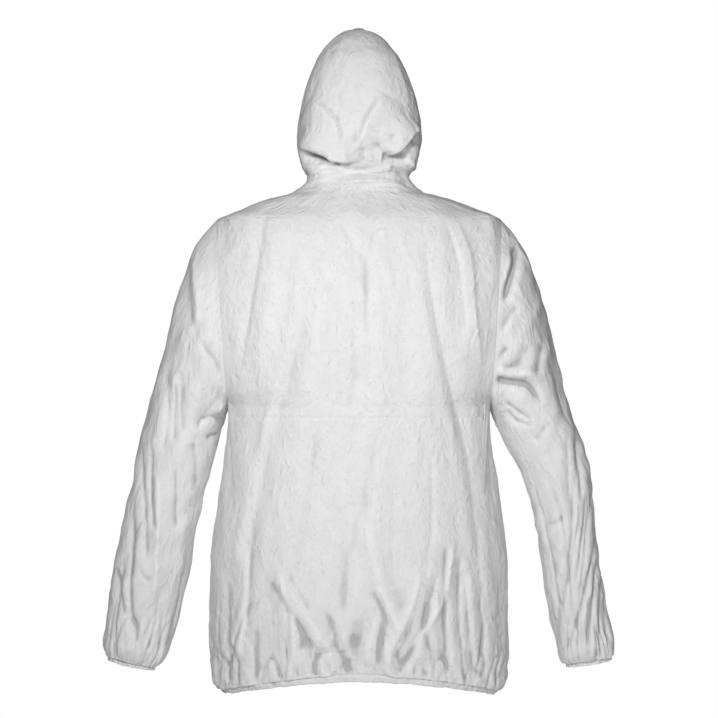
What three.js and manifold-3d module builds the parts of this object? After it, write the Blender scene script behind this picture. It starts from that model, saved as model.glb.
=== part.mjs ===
// Hooded protective jacket of crinkled non-woven fabric, zipped up and shaped as it hangs on a wearer.
// Millimetres, +Z up. The wearer faces -Y and the wearer's left is +X.
// The origin is the middle of the neck opening, level with the back neck seam.
// Every panel is a slice of one thin shell, so neighbouring panels meet along their seams.
import * as THREE from "three";
import { mergeVertices } from "three/addons/utils/BufferGeometryUtils.js";
import Module from "manifold-3d";

const wasm = await Module();
wasm.setup();

// ---------------------------------------------------------------- driving sizes
const gap = 0.4; // left between pieces that touch
const panelWall = 2; // a fabric panel with the air held in its wrinkles
const seamWidth = 10; // overlocked seam allowance, seen inside
const seamThick = 0.9;

const hemDrop = 804; // from the origin down to the hem at the side seams
const hemArch = 32; // how far the hem rises at the middle of the back and front
const waistSeamDrop = 365; // horizontal seam across the back
const armpitDrop = 350;
const shoulderDrop = 52; // top of the sleeve head
const neckRise = 18; // the narrowest level of the neck
const hoodSplit = 22; // where the neck band ends and the hood starts
const crownRise = 254; // top of the hood

const hemHalf = 218; // half widths
const skirtHalf = 238;
const armpitHalf = 208;
const shoulderHalf = 227;
const armholePuff = 31; // the body's section at the middle of the armhole runs this far past the shoulder
const neckSeamHalf = 106;
const neckHalf = 83;
const hoodHalf = 99;

const hemBack = 130; // depths behind the wearer's mid plane
const skirtBack = 150;
const bladeBack = 130;
const neckSeamBack = 63;
const neckBack = 57;
const hoodBack = 88;

const chinFront = 96; // depths in front of the mid plane; the zip lies on a straight line
const hemFront = 158;
const hoodFront = 142;
const facePlane = 104; // the face opening is cut here

const neckTilt = 0.137; // slope of the neck seam: lower in front
const neckSeamSide = -8.5; // its height over the shoulders
const roundness = 2.4; // exponent of the rounded cross-section

const zipSlot = 9; // half the gap between the front edges
const zipTop = 2; // below the top of the neck band
const zipBottomRise = 18; // above the hem
const tapeHalf = 16;
const tapeThick = 0.8;
const tapeSet = 0.8; // the tape sits this much deeper, clear of the curved panels
const coilHalf = 3.2; // the two coils meet within this half width
const coilThick = 2.2;
const postHalf = 0.45; // the slider's dividing post runs between the coils
const stopLong = 4;
const boxLong = 8;
const sliderLong = 15;
const sliderHalf = 5.5;
const sliderPlate = 1.2;
const lugHalf = 1.5;
const lugHigh = 3.4;
const pinRadius = 0.8;
const pinClear = 0.3;
const tabLong = 30;
const tabHalf = 4;
const tabThick = 1.4;
const flapRoot = 38; // the storm flap is stitched this far to the wearer's left of the zip
const flapFree = 18; // and reaches this far past it
const flapFoot = 12;
const flapThick = 1.2;
const flapClear = 2.5; // between the flap and the slider beneath it
const flapTop = 52; // below the top of the neck band

const casingHigh = 12; // elastic tunnel
const casingWall = 1.2;
const elasticThick = 1.2;
const elasticHigh = 7;

const sleeveY = -5; // the arms hang in this plane

// The wearer's left arm hangs straighter than the right. Angles are from vertical.
const arms = {
  left: {
    side: 1,
    upperAngle: 14,
    foreAngle: 12,
    elbowHalf: 59,
    foreHalf: 58,
    wristHalf: 51,
    cuffHalf: 39,
  },
  right: {
    side: -1,
    upperAngle: 23,
    foreAngle: 9.5,
    elbowHalf: 54,
    foreHalf: 44,
    wristHalf: 44,
    cuffHalf: 38,
  },
};
// Points down the sleeve head, on its outer and inner edge: outwards from the armhole, then down.
const sleeveHead = [
  { at: 0.06, out: [36, -45], under: [2, -8] },
  { at: 0.13, out: [61, -114], under: [5, -17] },
  { at: 0.2, out: [82, -198], under: [9, -27] },
  { at: 0.27, out: [101, -276], under: [14, -39] },
];
const headDepth = [82, 80, 74, 67]; // half depths of the same sections
const upperLong = 105; // underarm to elbow
const foreLong = 272; // elbow to wrist
const cuffLong = 38; // wrist to the cuff's edge

// ---------------------------------------------------------------- surfaces
const { lerp, degToRad, smoothstep } = THREE.MathUtils;
const ringSegments = 36;
const sleeveSegments = 24;
const reach = 900; // of the cutting blocks
const hemExtra = 8; // the body shell runs this far past the hem before it is trimmed
const casingAt = 0.96; // where the cuff's tunnel starts down the sleeve

// A smooth curve through [at, value] pairs in rising order of at, without overshoot.
function profile(pairs) {
  const slope = pairs.map((p, i) => {
    if (i === 0 || i === pairs.length - 1) return 0;
    const before = (p[1] - pairs[i - 1][1]) / (p[0] - pairs[i - 1][0]);
    const after = (pairs[i + 1][1] - p[1]) / (pairs[i + 1][0] - p[0]);
    return before * after <= 0 ? 0 : (2 * before * after) / (before + after);
  });
  return (at) => {
    let i = pairs.findIndex((p) => at <= p[0]);
    if (i === 0) return pairs[0][1];
    if (i < 0) return pairs[pairs.length - 1][1];
    const [x0, y0] = pairs[i - 1];
    const [x1, y1] = pairs[i];
    const h = x1 - x0;
    const t = (at - x0) / h;
    const rise = t * t * (3 - 2 * t);
    return (
      y0 + (y1 - y0) * rise + h * t * (1 - t) * ((1 - t) * slope[i - 1] - t * slope[i])
    );
  };
}

// Levels of the body from the hem to the crown.
const hemZ = -hemDrop;
const armpitZ = -armpitDrop;
const shoulderZ = -shoulderDrop;
const below = (share) => lerp(hemZ, armpitZ, share);
const armhole = (share) => lerp(armpitZ, shoulderZ, share);
const slope = (share) => lerp(shoulderZ, neckSeamSide, share);
const hood = (share) => lerp(neckRise, crownRise, share);

const armholeHalf = shoulderHalf + armholePuff;
const halfWidth = profile([
  [hemZ - hemExtra, hemHalf - 4],
  [hemZ, hemHalf],
  [below(0.06), lerp(hemHalf, skirtHalf, 0.75)],
  [below(0.2), skirtHalf],
  [below(0.42), skirtHalf],
  [below(0.65), lerp(armpitHalf, skirtHalf, 0.6)],
  [below(0.85), lerp(armpitHalf, skirtHalf, 0.2)],
  [armpitZ, armpitHalf],
  [armhole(0.1), lerp(armpitHalf, armholeHalf, 0.4)],
  [armhole(0.28), lerp(armpitHalf, armholeHalf, 0.85)],
  [armhole(0.52), armholeHalf],
  [armhole(0.74), lerp(shoulderHalf, armholeHalf, 0.85)],
  [armhole(0.91), lerp(shoulderHalf, armholeHalf, 0.4)],
  [shoulderZ, shoulderHalf],
  [slope(0.36), lerp(shoulderHalf, neckSeamHalf, 0.31)],
  [slope(0.75), lerp(shoulderHalf, neckSeamHalf, 0.64)],
  [neckSeamSide, neckSeamHalf],
  [lerp(neckSeamSide, neckRise, 0.5), lerp(neckSeamHalf, neckHalf, 0.75)],
  [neckRise, neckHalf],
  [hood(0.055), lerp(neckHalf, hoodHalf, 0.45)],
  [hood(0.145), lerp(neckHalf, hoodHalf, 0.78)],
  [hood(0.265), hoodHalf],
  [hood(0.5), hoodHalf * 0.93],
  [hood(0.75), hoodHalf * 0.71],
  [hood(0.885), hoodHalf * 0.5],
  [hood(0.965), hoodHalf * 0.27],
  [crownRise, hoodHalf * 0.07],
]);
const backDepth = profile([
  [hemZ - hemExtra, hemBack - 4],
  [hemZ, hemBack],
  [below(0.06), lerp(hemBack, skirtBack, 0.6)],
  [below(0.25), skirtBack],
  [below(0.55), lerp(bladeBack, skirtBack, 0.5)],
  [below(0.85), bladeBack - 3],
  [armhole(0.3), bladeBack],
  [armhole(0.6), bladeBack - 3],
  [armhole(0.85), lerp(neckSeamBack, bladeBack, 0.74)],
  [shoulderZ, lerp(neckSeamBack, bladeBack, 0.5)],
  [slope(0.5), lerp(neckSeamBack, bladeBack, 0.24)],
  [neckSeamSide, neckSeamBack],
  [neckRise, neckBack],
  [hood(0.06), lerp(neckBack, hoodBack, 0.3)],
  [hood(0.2), lerp(neckBack, hoodBack, 0.75)],
  [hood(0.48), hoodBack],
  [hood(0.75), hoodBack * 0.86],
  [hood(0.885), hoodBack * 0.64],
  [hood(0.965), hoodBack * 0.37],
  [crownRise, hoodBack * 0.09],
]);
const zipSlope = (hemFront - chinFront) / (hemDrop + hoodSplit);
const straightFront = (z) => chinFront + zipSlope * (hoodSplit - z);
const hoodDepth = profile([
  [hoodSplit, chinFront],
  [hood(0.12), lerp(chinFront, hoodFront, 0.2)],
  [hood(0.3), lerp(chinFront, hoodFront, 0.8)],
  [hood(0.5), hoodFront],
  [hood(0.75), hoodFront * 0.91],
  [hood(0.885), hoodFront * 0.71],
  [hood(0.965), hoodFront * 0.4],
  [crownRise, hoodFront * 0.09],
]);
const frontDepth = (z) => (z < hoodSplit ? straightFront(z) : hoodDepth(z));

const squarish = (value) => Math.sign(value) * Math.abs(value) ** (2 / roundness);

// The body's outer surface: angle 0 is the front, 90 degrees the wearer's left, 180 the back.
function bodyPoint(angle, z) {
  const c = -Math.cos(angle);
  const depth = c > 0 ? backDepth(z) : frontDepth(z);
  return new THREE.Vector3(squarish(Math.sin(angle)) * halfWidth(z), squarish(c) * depth, z);
}

// The armhole lies in a plane through the shoulder tip and the armpit.
const armholeTop = new THREE.Vector2(shoulderHalf, shoulderZ);
const armholeFoot = new THREE.Vector2(armpitHalf, armpitZ);
const armholeRun = armholeTop.clone().sub(armholeFoot);
const armholeMid = armholeTop.clone().lerp(armholeFoot, 0.5);

// Whether a point lies inside the body's outer surface.
function insideBody(x, y, z) {
  const depth = y > 0 ? backDepth(z) : frontDepth(z);
  return Math.abs(x / halfWidth(z)) ** roundness + Math.abs(y / depth) ** roundness < 1;
}

// How far the body's surface is from the middle of the armhole, within its plane. Angle 0 is up.
function armholeReach(angle) {
  const along = armholeRun.clone().normalize().multiplyScalar(Math.cos(angle));
  let near = 0;
  let far = armholeRun.length();
  for (let step = 0; step < 30; step += 1) {
    const r = (near + far) / 2;
    const x = armholeMid.x + along.x * r;
    const z = armholeMid.y + along.y * r;
    if (insideBody(x, sleeveY + Math.sin(angle) * r, z)) near = r;
    else far = r;
  }
  return near;
}

// Section stations down a sleeve: centre, half width in the XZ plane, tilt of the section, half depth.
function sleeveStations(arm) {
  const { side } = arm;
  const upper = degToRad(arm.upperAngle);
  const fore = degToRad(arm.foreAngle);
  const across = Math.PI / 2;
  const between = (at, outer, inner, deep) => {
    const run = outer.clone().sub(inner);
    const c = outer.clone().lerp(inner, 0.5);
    return { at, c, half: run.length() / 2, tilt: Math.atan2(run.x, run.y), deep };
  };
  const offset = (from, [x, z]) => from.clone().add(new THREE.Vector2(x, z));
  const head = sleeveHead.map((row, i) =>
    between(row.at, offset(armholeTop, row.out), offset(armholeFoot, row.under), headDepth[i]),
  );
  const underarm = head[head.length - 1];
  const down = (from, angle, long) =>
    new THREE.Vector2(from.x + Math.sin(angle) * long, from.y - Math.cos(angle) * long);
  const elbow = down(underarm.c, upper, upperLong);
  const forearm = down(elbow, fore, foreLong / 2);
  const wrist = down(elbow, fore, foreLong);
  const casing = down(wrist, fore, cuffLong - casingHigh);
  const cuff = down(wrist, fore, cuffLong);
  const rows = [
    between(0, armholeTop, armholeFoot, 80),
    ...head,
    { at: 0.46, c: elbow, half: arm.elbowHalf, tilt: across - (upper + fore) / 2, deep: 60 },
    { at: 0.68, c: forearm, half: arm.foreHalf, tilt: across - fore, deep: 54 },
    { at: 0.9, c: wrist, half: arm.wristHalf, tilt: across - fore, deep: 48 },
    { at: casingAt, c: casing, half: arm.cuffHalf, tilt: across - fore, deep: arm.cuffHalf - 4 },
    { at: 1, c: cuff, half: arm.cuffHalf - 1, tilt: across - fore, deep: arm.cuffHalf - 5 },
  ];
  const track = (value) => profile(rows.map((row) => [row.at, value(row)]));
  return {
    side,
    x: track((row) => row.c.x),
    z: track((row) => row.c.y),
    half: track((row) => row.half),
    tilt: track((row) => row.tilt),
    deep: track((row) => row.deep),
  };
}

// The sleeve's outer surface. Angle 0 is the arm's outer edge. The first section is the armhole's outline.
function sleevePoint(stations, angle, at) {
  const { side } = stations;
  const tilt = stations.tilt(at);
  const half = stations.half(at);
  const past = Math.min(0, at) + Math.max(0, at - 1); // the ends run on straight, square to their sections
  const run = past * (upperLong + foreLong + cuffLong);
  const settled = smoothstep(at, 0, 0.2);
  let up = Math.cos(angle);
  let across = Math.sin(angle) * stations.deep(at);
  if (settled < 1) {
    const r = armholeReach(-side * angle);
    up = lerp((up * r) / (armholeRun.length() / 2), up, settled);
    across = lerp(Math.sin(angle) * r, across, settled);
  }
  return new THREE.Vector3(
    side * (stations.x(at) + Math.cos(tilt) * run + Math.sin(tilt) * up * half),
    sleeveY - side * across,
    stations.z(at) - Math.sin(tilt) * run + Math.cos(tilt) * up * half,
  );
}

// ---------------------------------------------------------------- solids
function solidOf(geometry) {
  geometry.deleteAttribute("normal");
  geometry.deleteAttribute("uv");
  const merged = mergeVertices(geometry, 1e-3);
  const triVerts = new Uint32Array(merged.index.array);
  const vertProperties = new Float32Array(merged.attributes.position.array);
  const solid = new wasm.Manifold(new wasm.Mesh({ numProp: 3, vertProperties, triVerts }));
  if (solid.volume() > 0) return solid;
  for (let i = 0; i < triVerts.length; i += 3) {
    [triVerts[i + 1], triVerts[i + 2]] = [triVerts[i + 2], triVerts[i + 1]];
  }
  return new wasm.Manifold(new wasm.Mesh({ numProp: 3, vertProperties, triVerts }));
}

// A closed solid between two levels of a surface, drawn in by inset: along the surface's normal,
// or within each section when flat is true, which suits sections that fan round a bend.
function loft(surface, levels, segments, inset = 0, flat = false) {
  const step = 1e-3;
  const inner = (angle, level) => {
    const p = surface(angle, level);
    if (inset === 0) return p;
    if (flat) {
      const middle = surface(angle + Math.PI, level).lerp(p, 0.5);
      return p.addScaledVector(middle.sub(p).normalize(), inset);
    }
    const span = levels[levels.length - 1] - levels[0];
    const around = surface(angle + step, level).sub(surface(angle - step, level));
    const along = surface(angle, level + span * step).sub(surface(angle, level - span * step));
    const normal = around.cross(along).normalize();
    const centre = surface(angle, level).lerp(surface(angle + Math.PI, level), 0.5);
    if (normal.dot(p.clone().sub(centre)) < 0) normal.negate();
    return p.addScaledVector(normal, -inset);
  };
  const grid = new THREE.CylinderGeometry(1, 1, 1, segments, levels.length - 1);
  const position = grid.attributes.position;
  const half = Math.PI / segments;
  for (let i = 0; i < position.count; i += 1) {
    const level = levels[Math.round((position.getY(i) + 0.5) * (levels.length - 1))];
    const radius = Math.hypot(position.getX(i), position.getZ(i));
    const angle = Math.atan2(position.getX(i), position.getZ(i)) + half;
    const p =
      radius < 0.5
        ? inner(half, level).lerp(inner(half + Math.PI, level), 0.5)
        : inner(angle, level);
    position.setXYZ(i, p.x, p.y, p.z);
  }
  return solidOf(grid);
}

const block = (x0, x1, y0, y1, z0, z1) =>
  solidOf(
    new THREE.BoxGeometry(x1 - x0, y1 - y0, z1 - z0).translate(
      (x0 + x1) / 2,
      (y0 + y1) / 2,
      (z0 + z1) / 2,
    ),
  );

// A prism over an outline in the XZ plane, right through the body in Y.
function prismXZ(points) {
  const shape = new THREE.Shape(points.map(([x, z]) => new THREE.Vector2(x, z)));
  const geometry = new THREE.ExtrudeGeometry(shape, { depth: 2 * reach, bevelEnabled: false });
  return solidOf(geometry.rotateX(Math.PI / 2).translate(0, reach, 0));
}

// A prism over an outline in the YZ plane, right through the body in X.
function prismYZ(points) {
  const shape = new THREE.Shape(points.map(([y, z]) => new THREE.Vector2(y, z)));
  const geometry = new THREE.ExtrudeGeometry(shape, { depth: 2 * reach, bevelEnabled: false });
  return solidOf(geometry.rotateX(Math.PI / 2).rotateZ(Math.PI / 2).translate(-reach, 0, 0));
}

function levelsBetween(from, to, longest) {
  const count = Math.max(1, Math.ceil(Math.abs(to - from) / longest));
  return Array.from({ length: count + 1 }, (_, i) => lerp(from, to, i / count));
}

const bodyLevels = [
  hemZ - hemExtra,
  ...levelsBetween(hemZ, below(0.1), 24),
  ...levelsBetween(below(0.1), armpitZ, 66).slice(1),
  ...levelsBetween(armpitZ, shoulderZ, 48).slice(1),
  ...levelsBetween(shoulderZ, neckSeamSide, 16).slice(1),
  ...levelsBetween(neckSeamSide, neckRise, 14).slice(1),
  ...levelsBetween(neckRise, hood(0.8), 30).slice(1),
  ...levelsBetween(hood(0.8), crownRise, 15).slice(1),
];
const bodySkin = (inset) => loft(bodyPoint, bodyLevels, ringSegments, inset);
const bodyBetween = (outer, inner) => bodySkin(outer).subtract(bodySkin(inner));

// The region under the hem's arch, which is lowest at the side seams, raised by rise.
const archHalf = skirtHalf + 30;
function underHem(rise) {
  const outline = [[archHalf, hemZ - 200]];
  const steps = 16;
  for (let i = 0; i <= steps; i += 1) {
    const x = lerp(archHalf, -archHalf, i / steps);
    const share = Math.min(1, Math.abs(x) / hemHalf);
    outline.push([x, hemZ + rise + hemArch * (1 - share * share)]);
  }
  outline.push([-archHalf, hemZ - 200]);
  return prismXZ(outline);
}

// The region above the tilted neck seam, raised by rise.
const aboveNeckSeam = (rise) =>
  prismYZ([
    [-reach, neckSeamSide + rise - neckTilt * reach],
    [reach, neckSeamSide + rise + neckTilt * reach],
    [reach, reach],
    [-reach, reach],
  ]);

// The region outside the armhole plane and above the armpit, moved outwards by out.
function outsideArmhole(side, out, floor = armpitZ) {
  const run = armholeRun.x / armholeRun.y;
  const xAt = (z) => armpitHalf + (z - armpitZ) * run + out;
  const top = neckSeamSide - 4;
  return prismXZ([
    [side * xAt(floor), floor],
    [side * reach, floor],
    [side * reach, top],
    [side * xAt(top), top],
  ]);
}

const panelShell = bodyBetween(0, panelWall)
  .subtract(outsideArmhole(1, 0))
  .subtract(outsideArmhole(-1, 0));
const torsoShell = panelShell
  .subtract(underHem(casingHigh + gap))
  .subtract(aboveNeckSeam(-gap / 2));
const neckShell = panelShell
  .intersect(aboveNeckSeam(gap / 2))
  .subtract(block(-reach, reach, -reach, reach, hoodSplit - gap / 2, reach));
const slot = block(-zipSlot, zipSlot, -reach, 0, -reach, hood(0.25));
const hoodShell = panelShell
  .intersect(block(-reach, reach, -facePlane + casingHigh + gap, reach, hoodSplit + gap / 2, reach))
  .subtract(slot);

const back = block(-reach, reach, gap / 2, reach, -reach, reach);
const front = block(-reach, reach, -reach, -gap / 2, -reach, reach);
const aboveWaistSeam = block(-reach, reach, -reach, reach, -waistSeamDrop + gap / 2, reach);
const belowWaistSeam = block(-reach, reach, -reach, reach, -reach, -waistSeamDrop - gap / 2);
const mirrored = (side, x0, x1, ...rest) =>
  block(Math.min(side * x0, side * x1), Math.max(side * x0, side * x1), ...rest);
const sideOf = (side, from) => mirrored(side, from, reach, -reach, reach, -reach, reach);

// ---------------------------------------------------------------- materials
const fabric = () => new THREE.MeshStandardMaterial({ color: 0xeceeee, roughness: 0.62, metalness: 0 });
const thread = () => new THREE.MeshStandardMaterial({ color: 0xf6f6f4, roughness: 0.7, metalness: 0 });
const elastic = () => new THREE.MeshStandardMaterial({ color: 0xe6e4dd, roughness: 0.75, metalness: 0 });
const tape = () => new THREE.MeshStandardMaterial({ color: 0xf2f2f0, roughness: 0.8, metalness: 0 });
const nylon = () => new THREE.MeshStandardMaterial({ color: 0xf4f4f2, roughness: 0.35, metalness: 0 });
const metal = () => new THREE.MeshStandardMaterial({ color: 0xb8bbbf, roughness: 0.3, metalness: 0.9 });
const satin = () => new THREE.MeshStandardMaterial({ color: 0xfafafa, roughness: 0.45, metalness: 0 });

const jacket = new THREE.Group();

// Adds a solid as a named mesh.
function add(name, solid, material, parent = jacket) {
  const mesh = solid.getMesh();
  const stride = mesh.numProp;
  const count = mesh.vertProperties.length / stride;
  const position = new Float32Array(count * 3);
  for (let i = 0; i < count; i += 1) {
    position.set(mesh.vertProperties.subarray(i * stride, i * stride + 3), i * 3);
  }
  const geometry = new THREE.BufferGeometry()
    .setAttribute("position", new THREE.BufferAttribute(position, 3))
    .setIndex(new THREE.BufferAttribute(new Uint32Array(mesh.triVerts), 1));
  geometry.computeVertexNormals();
  const made = new THREE.Mesh(geometry, material);
  made.name = name;
  parent.add(made);
}

// ---------------------------------------------------------------- body panels
const backPanels = torsoShell.intersect(back);
const frontPanels = torsoShell.intersect(front).subtract(slot);
add("back_yoke_panel", backPanels.intersect(aboveWaistSeam), fabric());
add("back_skirt_panel", backPanels.intersect(belowWaistSeam), fabric());
add("front_panel_left", frontPanels.intersect(sideOf(1, 0)), fabric());
add("front_panel_right", frontPanels.intersect(sideOf(-1, 0)), fabric());
add("neck_band", neckShell.subtract(slot), fabric());

// ---------------------------------------------------------------- hood
add("hood_panel_left", hoodShell.intersect(sideOf(1, gap / 2)), fabric());
add("hood_panel_right", hoodShell.intersect(sideOf(-1, gap / 2)), fabric());

// ---------------------------------------------------------------- elastic tunnels
// A folded tunnel is a channel that is open on one side, with a flat elastic inside it.
const tunnelDeep = 2 * casingWall + elasticThick + 2 * gap;
const elasticOuter = casingWall + gap;
const elasticInner = casingWall + gap + elasticThick;
const elasticFoot = casingWall + gap;

const hemZone = (from, to) => underHem(to).subtract(underHem(from));
const hemTunnel = bodyBetween(0, tunnelDeep)
  .intersect(hemZone(0, casingHigh))
  .subtract(bodyBetween(casingWall, tunnelDeep - casingWall).intersect(hemZone(casingWall, casingHigh + 1)))
  .subtract(slot);
const hemElastic = bodyBetween(elasticOuter, elasticInner)
  .intersect(hemZone(elasticFoot, elasticFoot + elasticHigh))
  .subtract(slot);
add("hem_casing", hemTunnel, fabric());
add("hem_elastic", hemElastic, elastic());

const faceZone = (from, to) =>
  block(-reach, reach, -facePlane + from, -facePlane + to, hoodSplit + 4, reach);
const faceTunnel = bodyBetween(0, tunnelDeep)
  .intersect(faceZone(0, casingHigh))
  .subtract(bodyBetween(casingWall, tunnelDeep - casingWall).intersect(faceZone(casingWall, casingHigh + 1)))
  .subtract(slot);
const faceElastic = bodyBetween(elasticOuter, elasticInner)
  .intersect(faceZone(elasticFoot, elasticFoot + elasticHigh))
  .subtract(slot);
add("face_casing", faceTunnel, fabric());
add("face_elastic", faceElastic, elastic());

// ---------------------------------------------------------------- sleeves
const headOut = new THREE.Vector3(armholeRun.y, 0, -armholeRun.x).normalize();
const sleeveLevels = [
  ...levelsBetween(0, 0.28, 0.047),
  ...levelsBetween(0.28, 0.9, 0.08).slice(1),
  0.93,
  casingAt,
];
const cuffLevels = levelsBetween(casingAt, 1, 0.02);
const perLevel = (1 - casingAt) / casingHigh; // sleeve level per millimetre along the cuff

for (const [name, arm] of Object.entries(arms)) {
  const { side } = arm;
  const stations = sleeveStations(arm);
  const surface = (angle, at) => sleevePoint(stations, angle, at);
  const skin = (inset, levels) => loft(surface, levels, sleeveSegments, inset, true);
  const away = [side * headOut.x * gap, 0, headOut.z * gap];
  const past = 0.004; // the hollow runs this far past the tube's ends
  const hollowLevels = [-past, ...sleeveLevels.slice(1, -1), casingAt + past];
  const tube = skin(0, sleeveLevels)
    .subtract(skin(panelWall, hollowLevels))
    .translate(away)
    .intersect(outsideArmhole(side, gap, -reach));
  add(`sleeve_${name}`, tube, fabric());

  const between = (outer, inner, from, to) =>
    skin(outer, levelsBetween(from, to, 0.02)).subtract(
      skin(inner, levelsBetween(from - perLevel, to + perLevel, 0.02)),
    );
  const gapAt = casingAt + gap * perLevel;
  const edge = 1 - casingWall * perLevel;
  const tunnel = between(0, tunnelDeep, gapAt, 1)
    .subtract(between(casingWall, tunnelDeep - casingWall, casingAt - 2 * perLevel, edge))
    .translate(away);
  add(`cuff_casing_${name}`, tunnel, fabric());
  const elasticEnd = edge - gap * perLevel;
  const elasticStart = elasticEnd - elasticHigh * perLevel;
  const band = between(elasticOuter, elasticInner, elasticStart, elasticEnd).translate(away);
  add(`cuff_elastic_${name}`, band, elastic());
}

// ---------------------------------------------------------------- overlocked seams, inside
const seamShell = bodyBetween(panelWall + gap, panelWall + gap + seamThick);
const atSide = (half) => block(-reach, reach, -half, half, -reach, reach);
const seamHalf = seamWidth / 2;
const armholeSeams = Object.fromEntries(
  [1, -1].map((side) => [
    side,
    outsideArmhole(side, -seamWidth, armpitZ - seamWidth).subtract(outsideArmhole(side, -gap / 2)),
  ]),
);
const beyondArmholeSeam = (side) => outsideArmhole(side, -seamWidth - gap, armpitZ - seamWidth - gap);
const necklineSlab = (margin) =>
  aboveNeckSeam(-seamHalf - margin).subtract(aboveNeckSeam(seamHalf + margin));

const waistSlab = [-waistSeamDrop - seamHalf, -waistSeamDrop + seamHalf];
add("seam_back_waist", seamShell
  .intersect(back)
  .intersect(block(-reach, reach, seamHalf + gap, reach, ...waistSlab))
  .subtract(beyondArmholeSeam(1))
  .subtract(beyondArmholeSeam(-1)), thread());
const tapeSlot = block(-tapeHalf - gap, tapeHalf + gap, -reach, 0, -reach, reach);
add("seam_neckline", seamShell.intersect(necklineSlab(0)).subtract(tapeSlot), thread());
for (const [name, side] of [["left", 1], ["right", -1]]) {
  add(`seam_side_${name}`, seamShell
    .intersect(atSide(seamHalf))
    .intersect(sideOf(side, 0))
    .subtract(underHem(casingHigh + gap))
    .subtract(block(-reach, reach, -reach, reach, armpitZ - seamWidth - gap, reach)), thread());
  add(`seam_shoulder_${name}`, seamShell
    .intersect(atSide(seamHalf))
    .intersect(sideOf(side, 0))
    .intersect(block(-reach, reach, -reach, reach, armholeMid.y, reach))
    .subtract(beyondArmholeSeam(side))
    .subtract(aboveNeckSeam(-seamHalf - gap)), thread());
  add(`seam_armhole_${name}`, seamShell.intersect(armholeSeams[side]).subtract(slot), thread());
}
add("seam_hood_centre", seamShell
  .intersect(block(-seamHalf, seamHalf, -facePlane + casingHigh + gap, reach, hoodSplit + gap / 2, reach))
  .subtract(slot), thread());

// ---------------------------------------------------------------- front zip
// Built in the zip's own frame: local Z runs up the straight front edge, local Y goes inwards.
// The front facet lies at this share of the depth.
const flatFront = squarish(Math.cos(Math.PI / ringSegments));
const lean = Math.atan(zipSlope * flatFront);
const zipFrame = (solid) =>
  solid.rotate([-THREE.MathUtils.radToDeg(lean), 0, 0]).translate([0, -chinFront * flatFront, hoodSplit]);
const zipEnd = (hoodSplit - hemZ - hemArch - zipBottomRise) / Math.cos(lean);
const tapeFace = panelWall + gap + tapeSet;
const coilY = tapeFace + tapeThick / 2;
const coilFrom = coilY - coilThick / 2;
const coilTo = coilY + coilThick / 2;
const coilTop = zipTop + stopLong + gap;
const coilEnd = zipEnd - boxLong - gap;
const coilIn = postHalf + gap;

for (const [name, side] of [["left", 1], ["right", -1]]) {
  const tapeTo = tapeFace + tapeThick;
  const tapeSolid = mirrored(side, coilHalf + gap, tapeHalf, tapeFace, tapeTo, -zipEnd, -zipTop);
  add(`zip_tape_${name}`, zipFrame(tapeSolid), tape());
  const coilSolid = mirrored(side, coilIn, coilHalf, coilFrom, coilTo, -coilEnd, -coilTop);
  add(`zip_coil_${name}`, zipFrame(coilSolid), nylon());
  const stop = mirrored(side, coilIn, coilHalf, coilFrom, coilTo, -zipTop - stopLong, -zipTop);
  add(`zip_top_stop_${name}`, zipFrame(stop), metal());
}
const bottomBox = block(-coilHalf, coilHalf, coilFrom, coilTo, -zipEnd, -zipEnd + boxLong);
add("zip_bottom_box", zipFrame(bottomBox), metal());

// The slider is drawn at the closed end, just below the top stops.
const plateTop = coilFrom - gap - sliderPlate;
const pinY = plateTop - lugHigh / 2;
const sliderTop = coilTop + gap;
const sliderFoot = sliderTop + sliderLong;
const pinZ = -(sliderTop + sliderLong * 0.4);
function axle(radius, half) {
  const rod = new THREE.CylinderGeometry(radius, radius, 2 * half, 16);
  return solidOf(rod.rotateZ(Math.PI / 2).translate(0, pinY, pinZ));
}
const postFoot = -sliderTop - sliderLong * 0.4;
const slider = block(-sliderHalf, sliderHalf, plateTop, plateTop + sliderPlate, -sliderFoot, -sliderTop)
  .add(block(-sliderHalf, sliderHalf, coilTo + gap, coilTo + gap + sliderPlate, -sliderFoot, -sliderTop))
  .add(block(-postHalf, postHalf, plateTop + 0.2, coilTo + gap + 0.2, postFoot, -sliderTop))
  .add(block(-lugHalf, lugHalf, plateTop - lugHigh, plateTop + 0.2, pinZ - lugHigh / 2, pinZ + lugHigh / 2))
  .subtract(axle(pinRadius + pinClear, lugHalf + 1));
add("zip_slider", zipFrame(slider), metal());

const tabEye = lugHigh / 2 + pinClear + pinRadius; // the fork in the tab that clears the lug
const tabTop = pinZ + pinRadius;
const tab = block(-tabHalf, tabHalf, pinY - tabThick / 2, pinY + tabThick / 2, pinZ - tabLong, tabTop)
  .subtract(block(-lugHalf - gap, lugHalf + gap, pinY - tabThick, pinY + tabThick, pinZ - tabEye, tabTop + 1))
  .add(axle(pinRadius, tabHalf - 0.2));
add("zip_pull_tab", zipFrame(tab), metal());

// The storm flap bridges the zip and slider; its foot is stitched to the left front panel.
const flapRise = lugHigh - plateTop + flapClear;
const flapShape = new THREE.Shape(
  [
    [flapRoot, gap],
    [flapRoot, gap + flapThick],
    [flapRoot - flapFoot, gap + flapThick],
    [flapRoot - flapFoot - flapRise, flapRise + flapThick],
    [-flapFree, flapRise + flapThick],
    [-flapFree, flapRise],
    [flapRoot - flapFoot - flapRise, flapRise],
    [flapRoot - flapFoot, gap],
  ].map(([x, out]) => new THREE.Vector2(x, -out)),
);
const flapLong = zipEnd - flapTop;
const flap = new THREE.ExtrudeGeometry(flapShape, { depth: flapLong, bevelEnabled: false });
add("storm_flap", zipFrame(solidOf(flap.translate(0, 0, -zipEnd))), fabric());

export default jacket;
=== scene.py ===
"""A hooded protective jacket of crinkled non-woven fabric, standing as it hangs on a wearer."""

import math

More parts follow.
